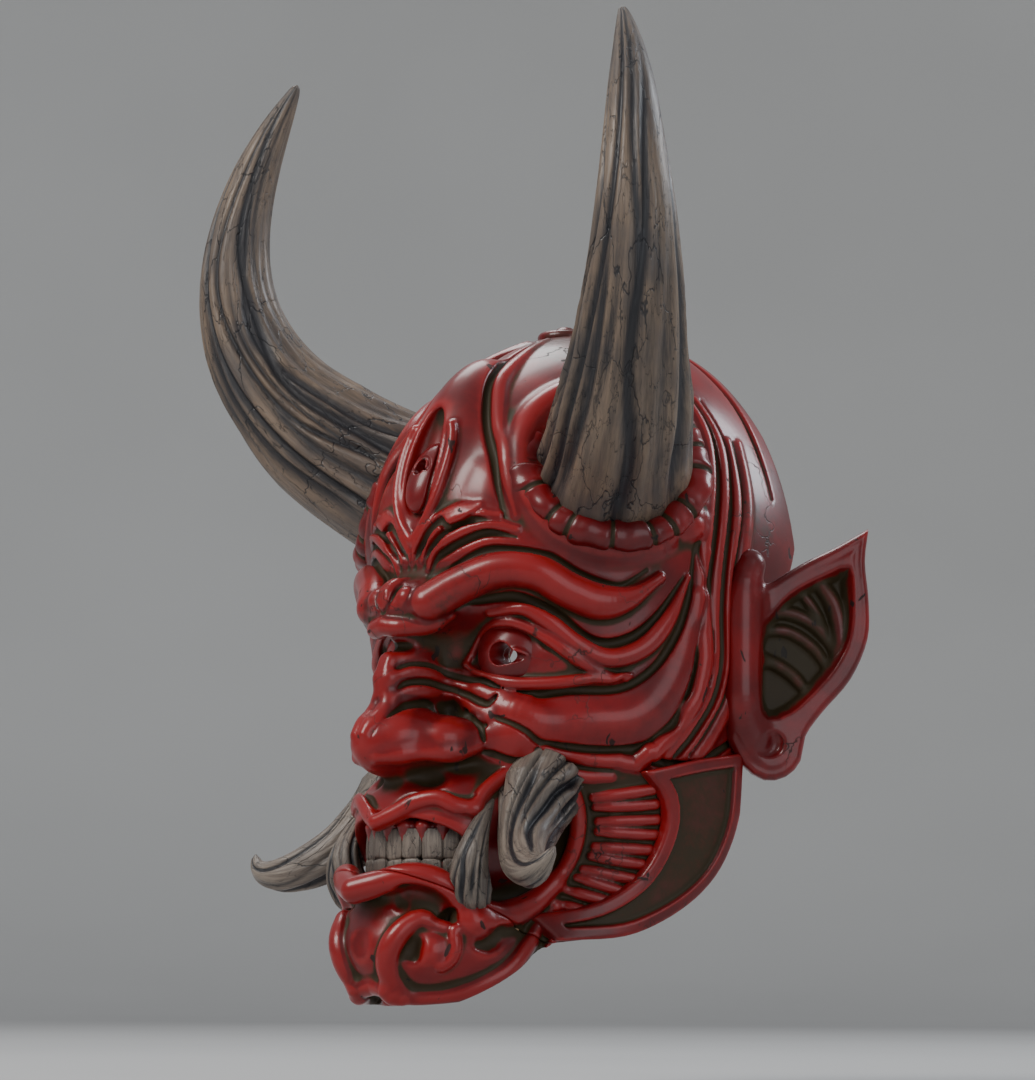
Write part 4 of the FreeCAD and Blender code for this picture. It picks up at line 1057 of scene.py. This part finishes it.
def make_teeth(name, root, downward, seed):
    """A row of worn teeth round the dental arch."""
    random = np.random.default_rng(seed)
    points, triangles, quads, darker_to_root, grains = [], [], [], [], []
    for number in range(TEETH):
        turn = math.radians((number - (TEETH - 1) / 2) * TOOTH_PITCH)
        rows = tooth_rows(
            random, 8.3 * random.uniform(0.94, 1.0), 5.0, TOOTH_LENGTH * random.uniform(0.94, 1.03) + 0.7)
        rings, around = rows.shape[:2]
        flat = rows.reshape(-1, 3)
        height = root + (-flat[:, 2] if downward else flat[:, 2])
        outward = np.array([math.sin(turn), -math.cos(turn)])
        sideways = np.array([math.cos(turn), math.sin(turn)])
        reach = ARCH_RADIUS - 2.0 + random.uniform(-0.4, 0.4)
        place = ARCH_CENTRE + outward * (reach - flat[:, 1:2]) + sideways * flat[:, :1]
        block = np.column_stack([place, height])
        index = np.arange(rings * around).reshape(rings, around) + sum(len(part) for part in points)
        ahead = np.roll(index, -1, axis=1)
        first = sum(len(part) for part in points) + len(block)
        caps = np.array([block[:around].mean(axis=0), block[-around:].mean(axis=0)])
        side = np.stack([index[:-1], ahead[:-1], ahead[1:], index[1:]], axis=-1).reshape(-1, 4)
        foot = np.column_stack([ahead[0], index[0], np.full(around, first)])
        crown = np.column_stack([index[-1], ahead[-1], np.full(around, first + 1)])
        if downward:
            side, foot, crown = side[:, ::-1], foot[:, ::-1], crown[:, ::-1]
        points.append(np.vstack([block, caps]))
        quads.append(side)
        triangles += [foot, crown]
        up_share = np.append(flat[:, 2] / TOOTH_LENGTH, (0, 1))
        # Each tooth is darker towards its root, where it meets the gum.
        darker_to_root.append(0.55 * np.clip(0.45 - up_share, 0, 1) + 0.1)
        angle = np.append(np.tile(np.linspace(0, 2 * math.pi, around, endpoint=False), rings), (0, 0))
        grains.append(np.column_stack([
            np.cos(angle) + 3 * number, np.sin(angle) + (7 if downward else 0), up_share * 1.5]))
    piece = mesh_object(name, np.vstack(points), np.vstack(triangles), np.vstack(quads))
    face_outwards(piece)
    store(piece, "cavity", np.concatenate(darker_to_root))
    store_vector(piece, "grain", np.vstack(grains))
    return piece


def make_gum(name, base, downward):
    """The gum behind a row of teeth, with a point between each pair."""
    field = Field((-40, -146, -226), (40, -100, -190), 0.6)
    reach = ARCH_RADIUS - 4.4
    turns = np.radians(np.linspace(-61, 61, 41))
    arch = np.column_stack([reach * np.sin(turns), ARCH_CENTRE[1] - reach * np.cos(turns), np.full(41, base)])
    window, solid = tube_field(field, arch, np.full(41, 3.3), 3)
    add(field, window, solid, 0)
    sign = -1 if downward else 1
    for number in range(TEETH + 1):
        turn = math.radians((number - TEETH / 2) * TOOTH_PITCH)
        outward = np.array([math.sin(turn), -math.cos(turn), 0])
        foot = outward * (reach + 2.6) + (0, ARCH_CENTRE[1], base)
        tip = foot + outward * 0.8 + (0, 0, sign * 7.5)
        window, solid = tube_field(field, [foot, tip], [3.4, 0.5], 3)
        add(field, window, solid, 1.0)
    return half_piece(name, field, field.values)


# ---------------------------------------------------------------- pads

PAD_NEAR = 6.3
PAD_FAR = 16.3


def make_pad(name, low, high, axes):
    """A leather cushion against the inner wall, spread along two axes, with a corded seam round it."""
    field = Field(np.array(low) - 4, np.array(high) + 4, 0.7)
    parts = field.axes()
    depth = -head_distance(*parts)
    shell = np.abs(depth - (PAD_NEAR + PAD_FAR) / 2) - (PAD_FAR - PAD_NEAR) / 2
    spreads = []
    for axis in axes:
        centre = (low[axis] + high[axis]) / 2
        spreads.append(np.abs(parts[axis] - centre) - (high[axis] - low[axis]) / 2)
    corner = 7.0
    a, b = np.broadcast_arrays(*spreads)
    border = np.hypot(np.maximum(a + corner, 0), np.maximum(b + corner, 0)) + np.minimum(
        np.maximum(a, b) + corner, 0) - corner
    waves = np.sin(parts[axes[0]] * 1.3 + 0.4 * np.sin(parts[axes[1]] * 0.9))
    pucker = 0.5 * waves * np.exp(-(border / 4) ** 2)
    plump = 2.2 * np.exp(-np.clip(-border, 0, 30) / 5.0)
    body = rounded([border + 1.2 + 0 * shell, shell + plump + pucker], 4.0)
    seam = np.hypot(border + 1.6, depth - (PAD_NEAR + PAD_FAR) / 2) - 1.5
    field.values[:] = smooth_min(body, seam, 0.8)
    piece = half_piece(name, field, field.values)
    return piece


# ---------------------------------------------------------------- materials

class Paint:
    """A material being built, with short ways to add and link its nodes."""

    def __init__(self, name):
        self.material = bpy.data.materials.new(name)
        self.material.use_nodes = True
        self.tree = self.material.node_tree
        self.shader = self.tree.nodes["Principled BSDF"]

    def node(self, kind, **settings):
        made = self.tree.nodes.new(kind)
        for key, value in settings.items():
            setattr(made, key, value)
        return made

    def link(self, out, into):
        self.tree.links.new(out, into)

    def place(self):
        """The mask's own coordinates, in metres."""
        return self.node("ShaderNodeTexCoord").outputs["Object"]

    def attribute(self, name):
        return self.node("ShaderNodeAttribute", attribute_name=name)

    def noise(self, vector, scale, detail=4.0, roughness=0.55, distortion=0.0):
        made = self.node("ShaderNodeTexNoise")
        made.inputs["Scale"].default_value = scale
        made.inputs["Detail"].default_value = detail
        made.inputs["Roughness"].default_value = roughness
        made.inputs["Distortion"].default_value = distortion
        self.link(vector, made.inputs["Vector"])
        return made.outputs["Fac"]

    def remap(self, value, low, high, to_low=0.0, to_high=1.0, smooth=True):
        made = self.node("ShaderNodeMapRange")
        made.interpolation_type = "SMOOTHSTEP" if smooth else "LINEAR"
        self.link(value, made.inputs["Value"])
        for key, number in zip(("From Min", "From Max", "To Min", "To Max"), (low, high, to_low, to_high)):
            made.inputs[key].default_value = number
        return made.outputs["Result"]

    def math(self, operation, a, b):
        made = self.node("ShaderNodeMath", operation=operation)
        for socket, value in zip(made.inputs, (a, b)):
            if isinstance(value, (int, float)):
                socket.default_value = value
            else:
                self.link(value, socket)
        return made.outputs["Value"]

    def mix(self, factor, a, b):
        made = self.node("ShaderNodeMix", data_type="RGBA")
        self.link(factor, made.inputs["Factor"])
        for socket, value in ((made.inputs["A"], a), (made.inputs["B"], b)):
            if isinstance(value, tuple):
                socket.default_value = (*value, 1)
            else:
                self.link(value, socket)
        return made.outputs["Result"]

    def scaled(self, vector, scale):
        made = self.node("ShaderNodeMapping")
        made.inputs["Scale"].default_value = scale
        self.link(vector, made.inputs["Vector"])
        return made.outputs["Vector"]

    def cracks(self, vector, scale, width, wobble):
        """Thin wandering lines between uneven cells: 1 on a line and 0 off it."""
        shift = self.node("ShaderNodeTexNoise")
        shift.inputs["Scale"].default_value = scale * 3
        shift.inputs["Detail"].default_value = 3
        self.link(vector, shift.inputs["Vector"])
        bend = self.node("ShaderNodeVectorMath", operation="MULTIPLY_ADD")
        self.link(shift.outputs["Color"], bend.inputs[0])
        bend.inputs[1].default_value = (wobble,) * 3
        self.link(vector, bend.inputs[2])
        cells = self.node("ShaderNodeTexVoronoi", feature="DISTANCE_TO_EDGE")
        cells.inputs["Scale"].default_value = scale
        self.link(bend.outputs["Vector"], cells.inputs["Vector"])
        return self.remap(cells.outputs["Distance"], 0.0, width, 1.0, 0.0)

    def bump(self, height, strength, distance):
        made = self.node("ShaderNodeBump")
        made.inputs["Strength"].default_value = strength
        made.inputs["Distance"].default_value = distance
        self.link(height, made.inputs["Height"])
        self.link(made.outputs["Normal"], self.shader.inputs["Normal"])

    def set(self, **values):
        for key, value in values.items():
            self.shader.inputs[key.replace("_", " ")].default_value = value


def lacquer(name, red=(0.235, 0.0035, 0.0055), deep=(0.105, 0.0025, 0.004), patina=1.0):
    """Worn red lacquer over carved wood, with a painted highlight of brighter red on its ridges, dark olive
    patina in its hollows, cracks and chips.
    """
    paint = Paint(name)
    place = paint.place()
    cavity = paint.attribute("cavity").outputs["Fac"]
    cloud = paint.noise(place, 28, 5)
    fine = paint.noise(place, 260, 5, 0.65)
    broad = paint.noise(place, 11, 3)
    colour = paint.mix(paint.remap(cloud, 0.36, 0.66), deep, red)
    # Brighter red on the ridges, where the cavity value is lowest, is a painted highlight.
    wear_and_highlight = paint.remap(paint.math("ADD", cavity, paint.math("MULTIPLY", fine, 0.35)), -0.42, -0.05, 1.0, 0.0)
    colour = paint.mix(paint.math("MULTIPLY", wear_and_highlight, 0.55), colour, (0.36, 0.014, 0.014))
    ragged = paint.math("ADD", cavity, paint.math("MULTIPLY", paint.math("SUBTRACT", cloud, 0.5), 0.9))
    settled = paint.remap(paint.math("ADD", ragged, paint.math("MULTIPLY", fine, 0.3)), 0.3, 0.75)
    settled = paint.math("MULTIPLY", settled, patina)
    colour = paint.mix(paint.math("MULTIPLY", settled, 0.95), colour, (0.030, 0.024, 0.008))
    stain = paint.remap(paint.math("ADD", broad, paint.math("MULTIPLY", fine, 0.2)), 0.66, 0.76)
    colour = paint.mix(paint.math("MULTIPLY", stain, 0.75), colour, (0.03, 0.018, 0.010))
    crack = paint.math("MULTIPLY", paint.cracks(place, 34, 0.018, 0.02), paint.remap(broad, 0.5, 0.6))
    chips = paint.remap(paint.noise(paint.scaled(place, (1, 1, 0.6)), 150, 3, 0.5, 0.6), 0.69, 0.715)
    damage = paint.math("MAXIMUM", crack, chips)
    colour = paint.mix(paint.math("MULTIPLY", damage, 0.9), colour, (0.014, 0.009, 0.007))
    paint.link(colour, paint.shader.inputs["Base Color"])
    dull = paint.math("MAXIMUM", settled, damage)
    paint.link(paint.remap(dull, 0.0, 1.0, 0.33, 0.62), paint.shader.inputs["Roughness"])
    coat = paint.remap(dull, 0.0, 1.0, 0.3, 0.03)
    paint.link(coat, paint.shader.inputs["Coat Weight"])
    paint.set(Coat_Roughness=0.16, IOR=1.42)
    relief = paint.math("SUBTRACT", paint.math("MULTIPLY", fine, 0.25), damage)
    paint.bump(relief, 0.2, 0.0005)
    return paint.material


def grained(name, light, middle, dark, grain_scale=1.0, gloss=0.42, cavity_gain=1.0, crack_scale=1.1):
    """Carved horn or tooth: streaks along the grain, dark grooves and fine dark cracks."""
    paint = Paint(name)
    grain = paint.attribute("grain").outputs["Vector"]
    place = paint.place()
    cavity = paint.attribute("cavity").outputs["Fac"]
    streak = paint.noise(paint.scaled(grain, (7 * grain_scale, 7 * grain_scale, 0.55)), 1.6, 6, 0.62)
    thread = paint.noise(paint.scaled(grain, (26 * grain_scale, 26 * grain_scale, 1.3)), 1.5, 4, 0.6)
    cloud = paint.noise(place, 24, 4)
    colour = paint.mix(paint.remap(streak, 0.34, 0.62), middle, light)
    colour = paint.mix(paint.remap(cloud, 0.42, 0.66, 0.0, 0.6), colour, dark)
    hollowness = paint.math("MULTIPLY", cavity, cavity_gain)
    shade = paint.math("ADD", hollowness, paint.math("MULTIPLY", thread, 0.5))
    colour = paint.mix(paint.remap(shade, 0.36, 0.85, 0.0, 0.95), colour, (0.012, 0.013, 0.018))
    crack = paint.cracks(paint.scaled(grain, (1.0, 1.0, 0.5)), crack_scale, 0.016, 0.35)
    fine_crack = paint.cracks(paint.scaled(grain, (1.6, 1.6, 0.5)), crack_scale * 1.9, 0.016, 0.3)
    crack = paint.math("MULTIPLY", crack, paint.remap(cloud, 0.36, 0.5))
    fine_crack = paint.math("MULTIPLY", fine_crack, paint.remap(cloud, 0.6, 0.5))
    crack = paint.math("MAXIMUM", crack, fine_crack)
    colour = paint.mix(paint.math("MULTIPLY", crack, 0.9), colour, (0.006, 0.007, 0.011))
    paint.link(colour, paint.shader.inputs["Base Color"])
    paint.link(paint.remap(thread, 0.3, 0.7, gloss - 0.08, gloss + 0.14), paint.shader.inputs["Roughness"])
    paint.set(Coat_Weight=0.12, Coat_Roughness=0.25)
    relief = paint.math("SUBTRACT", paint.math("MULTIPLY", thread, 0.6), crack)
    paint.bump(relief, 0.5, 0.0008)
    return paint.material


def leather(name):
    """Soft brown leather with fine pores, darker in its creases."""
    paint = Paint(name)
    place = paint.place()
    pores = paint.node("ShaderNodeTexVoronoi")
    pores.inputs["Scale"].default_value = 900
    paint.link(place, pores.inputs["Vector"])
    cloud = paint.noise(place, 40, 4)
    colour = paint.mix(paint.remap(cloud, 0.35, 0.65), (0.05, 0.026, 0.016), (0.11, 0.058, 0.034))
    creased = paint.remap(paint.attribute("cavity").outputs["Fac"], 0.1, 0.6)
    colour = paint.mix(creased, colour, (0.015, 0.009, 0.006))
    paint.link(colour, paint.shader.inputs["Base Color"])
    paint.link(paint.remap(cloud, 0.3, 0.7, 0.5, 0.68), paint.shader.inputs["Roughness"])
    paint.bump(pores.outputs["Distance"], 0.25, 0.0003)
    return paint.material


def metal(name, colour, tarnish, roughness):
    """Worn metal, darkened unevenly."""
    paint = Paint(name)
    place = paint.place()
    cloud = paint.noise(place, 180, 5)
    scratches = paint.noise(paint.scaled(place, (1, 8, 1)), 500, 3)
    shade = paint.mix(paint.remap(cloud, 0.38, 0.62), tarnish, colour)
    paint.link(shade, paint.shader.inputs["Base Color"])
    rough = paint.remap(cloud, 0.3, 0.7, roughness + 0.15, roughness - 0.05)
    paint.link(rough, paint.shader.inputs["Roughness"])
    paint.set(Metallic=1.0)
    paint.bump(scratches, 0.08, 0.0002)
    return paint.material


def bare_wood(name):
    """Unpainted hardwood with faint growth rings."""
    paint = Paint(name)
    rings = paint.noise(paint.scaled(paint.place(), (60, 60, 6)), 12, 5)
    colour = paint.mix(paint.remap(rings, 0.35, 0.65), (0.3, 0.17, 0.08), (0.5, 0.33, 0.18))
    paint.link(colour, paint.shader.inputs["Base Color"])
    paint.set(Roughness=0.6)
    paint.bump(rings, 0.15, 0.0003)
    return paint.material


# ---------------------------------------------------------------- the set

FLOOR_LEVEL = -0.302
FLOOR_REACH = 2.6
FLOOR_BEND = 2.0


def make_floor():
    """A plain pale floor under the mask, which curves up far away on every side. It is painted darker near
    the mask and lighter where it rises far away: painted shade and painted light that even out the lamps'
    falloff.
    """
    around = 96
    turn = np.linspace(0, 2 * math.pi, around, endpoint=False)
    rise = np.linspace(0, math.pi / 2, 24)
    reach = np.concatenate([[0.0005], FLOOR_REACH + FLOOR_BEND * np.sin(rise)])
    height = np.concatenate([[FLOOR_LEVEL], FLOOR_LEVEL + FLOOR_BEND * (1 - np.cos(rise))])
    rows = np.stack([
        reach[:, None] * np.cos(turn), reach[:, None] * np.sin(turn),
        np.broadcast_to(height[:, None], (len(reach), around))], axis=-1) / MM
    floor = grid_object("floor", rows, caps=False)
    paint = Paint("floor_paint")
    place = paint.place()
    cloud = paint.remap(paint.noise(place, 2.0, 2), 0.2, 0.8)
    distance = paint.node("ShaderNodeVectorMath", operation="LENGTH")
    paint.link(place, distance.inputs[0])
    # Painted shade on the floor near the mask and painted light on the far rising wall, which even out how
    # the lamps fall off with distance.
    near = paint.mix(cloud, (0.42, 0.42, 0.42), (0.45, 0.45, 0.45))
    far = paint.mix(cloud, (0.70, 0.70, 0.69), (0.74, 0.74, 0.73))
    share = paint.remap(distance.outputs["Value"], 2.2, 4.0)
    paint.link(paint.mix(share, near, far), paint.shader.inputs["Base Color"])
    paint.set(Roughness=0.8)
    floor.data.materials.append(paint.material)


def make_light(name, place, target, size, power, colour=(1, 1, 1)):
    """A square soft light at a place, turned towards a target."""
    light = bpy.data.lights.new(name, "AREA")
    light.shape = "SQUARE"
    light.size = size
    light.energy = power
    light.color = colour
    lamp = bpy.data.objects.new(name, light)
    bpy.context.collection.objects.link(lamp)
    lamp.location = place
    lamp.rotation_euler = (Vector(target) - Vector(place)).to_track_quat("-Z", "Y").to_euler()


def make_lights():
    """Soft studio light: a large key from the upper left, a fill, and a rim behind."""
    middle = (0, -0.06, -0.08)
    make_light("key", (-0.3, -1.7, 1.3), middle, 0.9, 32, (1.0, 0.97, 0.93))
    make_light("fill", (1.9, -0.7, 0.3), middle, 1.4, 9, (0.9, 0.95, 1.0))
    make_light("rim", (0.7, 1.5, 1.0), middle, 0.8, 22, (0.85, 0.92, 1.0))
    make_light("top", (-0.9, 0.3, 1.5), middle, 0.8, 14)
    world = bpy.data.worlds.new("studio")
    world.use_nodes = True
    background = world.node_tree.nodes["Background"]
    background.inputs["Color"].default_value = (0.80, 0.82, 0.85, 1)
    background.inputs["Strength"].default_value = 0.4
    bpy.context.scene.world = world


CAMERA_TARGET = Vector((0, -0.05704, -0.07544))
CAMERA_AROUND = 0.81295
CAMERA_UP = -0.10946
CAMERA_ROLL = 0.007358
CAMERA_DISTANCE = 1.66505
CAMERA_LENS = 133.33


def make_camera():
    """The view from the mask's left front and a little below."""
    data = bpy.data.cameras.new("camera")
    data.sensor_fit = "VERTICAL"
    data.sensor_height = 36
    data.lens = CAMERA_LENS
    camera = bpy.data.objects.new("camera", data)
    bpy.context.collection.objects.link(camera)
    level = math.cos(CAMERA_UP)
    back = Vector((math.sin(CAMERA_AROUND) * level, -math.cos(CAMERA_AROUND) * level, math.sin(CAMERA_UP)))
    right = Vector((math.cos(CAMERA_AROUND), math.sin(CAMERA_AROUND), 0))
    up = back.cross(right)
    turned_right = right * math.cos(CAMERA_ROLL) + up * math.sin(CAMERA_ROLL)
    turned_up = up * math.cos(CAMERA_ROLL) - right * math.sin(CAMERA_ROLL)
    pose = Matrix((turned_right, turned_up, back)).transposed().to_4x4()
    pose.translation = CAMERA_TARGET + back * CAMERA_DISTANCE
    camera.matrix_world = pose
    bpy.context.scene.camera = camera


# ---------------------------------------------------------------- putting it together

MASK = "mask"


def fit(piece, material):
    """Finishes a piece: its paint, the body that it rides on and the CAD node that it stands for."""
    piece.data.materials.clear()
    piece.data.materials.append(material)
    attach(piece, MASK)
    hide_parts(piece.name.removeprefix(LOOK))


def fit_pair(piece, material):
    """Fits a left-hand piece and its mirrored twin."""
    twin = mirror_of(piece)
    fit(piece, material)
    fit(twin, material)
    return twin


def build_wood(red):
    """The shell and the chin, carved as one and then parted at the joint."""
    field = sculpt()
    recess = field.values - box_blur(field.values, 3) + 0.6 * (field.values - box_blur(field.values, 7))
    wall = hollow_out(field)
    face = trimmed(field, wall, PROFILE + [JOINT_FRONT])
    chin = trimmed(field, wall, [JOINT_REAR, JOINT_FRONT] + CHIN_END)
    fit(carved_piece("face_shell", field, face, recess), red)
    fit(carved_piece("chin_piece", field, chin, recess), red)


def build_mask():
    """Every carved, grown or padded piece, each in the place of its CAD node."""
    red = lacquer("red_lacquer")
    horn_paint = grained("horn", (0.20, 0.142, 0.098), (0.115, 0.084, 0.064), (0.045, 0.043, 0.048),
                         cavity_gain=0.75, crack_scale=1.6)
    bone = grained("tooth_bone", (0.25, 0.205, 0.165), (0.14, 0.11, 0.09), (0.06, 0.048, 0.042), gloss=0.38)
    gum = lacquer("gum_lacquer", (0.22, 0.010, 0.012), (0.10, 0.006, 0.008), patina=0.6)
    hide = leather("pad_leather")

    build_wood(red)
    for make in (make_collar, make_ear, make_jaw_plate, make_eye):
        fit_pair(make(), red)
    for make in (make_third_eye, make_crown_boss):
        fit(make(), red)
    fit_pair(
        grown_piece("horn_left", HORN_CURVE, HORN_RADIUS, HORN_TAPER, 26, 5, twist=0.5, root_depth=0.13,
                    depth=0.08), horn_paint)
    fit_pair(
        grown_piece("curled_tusk_left", CURLED_CURVE, CURLED_RADIUS, CURLED_TAPER, 15, 8, twist=1.4,
                    root_depth=0.26, depth=0.14, along=180), bone)
    fit_pair(
        grown_piece("lower_tusk_left", LOWER_CURVE, LOWER_RADIUS, LOWER_TAPER, 11, 9, twist=0.9,
                    root_depth=0.2, depth=0.14, along=140), bone)
    fit(make_teeth("upper_teeth", UPPER_ROOT, True, 3), bone)
    fit(make_teeth("lower_teeth", LOWER_ROOT, False, 4), bone)
    fit(make_gum("upper_gum", UPPER_ROOT + 0.6, True), gum)
    fit(make_gum("lower_gum", LOWER_ROOT + 3.4, False), gum)
    fit(make_pad("forehead_pad", (-30, -120, -76), (30, -60, -50), (0, 2)), hide)
    other_pad = fit_pair(
        make_pad("cheek_pad_left", (40, -60, -178), (90, -30, -142), (1, 2)), hide)


def paint_hardware(frame):
    """Gives the CAD pieces that are shown as they are their metal and wood."""
    brass = metal("blackened_brass", (0.36, 0.25, 0.11), (0.09, 0.065, 0.035), 0.42)
    steel = metal("fixing_steel", (0.42, 0.42, 0.43), (0.2, 0.2, 0.2), 0.38)
    wood = bare_wood("dowel_wood")
    finishes = {"blackened_brass": brass, "fixing_steel": steel, "dowel_wood": wood}
    slots = {part["node"]: part["material_slot"] for part in frame["record"]["subparts"]}
    for name, node in frame["nodes"].items():
        finish = finishes.get(slots[name])
        if finish is not None:
            node.data.materials.clear()
            node.data.materials.append(finish)


def main():
    for leftover in list(bpy.data.objects):
        bpy.data.objects.remove(leftover)
    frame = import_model()
    build_mask()
    paint_hardware(frame)
    make_floor()
    make_lights()
    make_camera()


main()
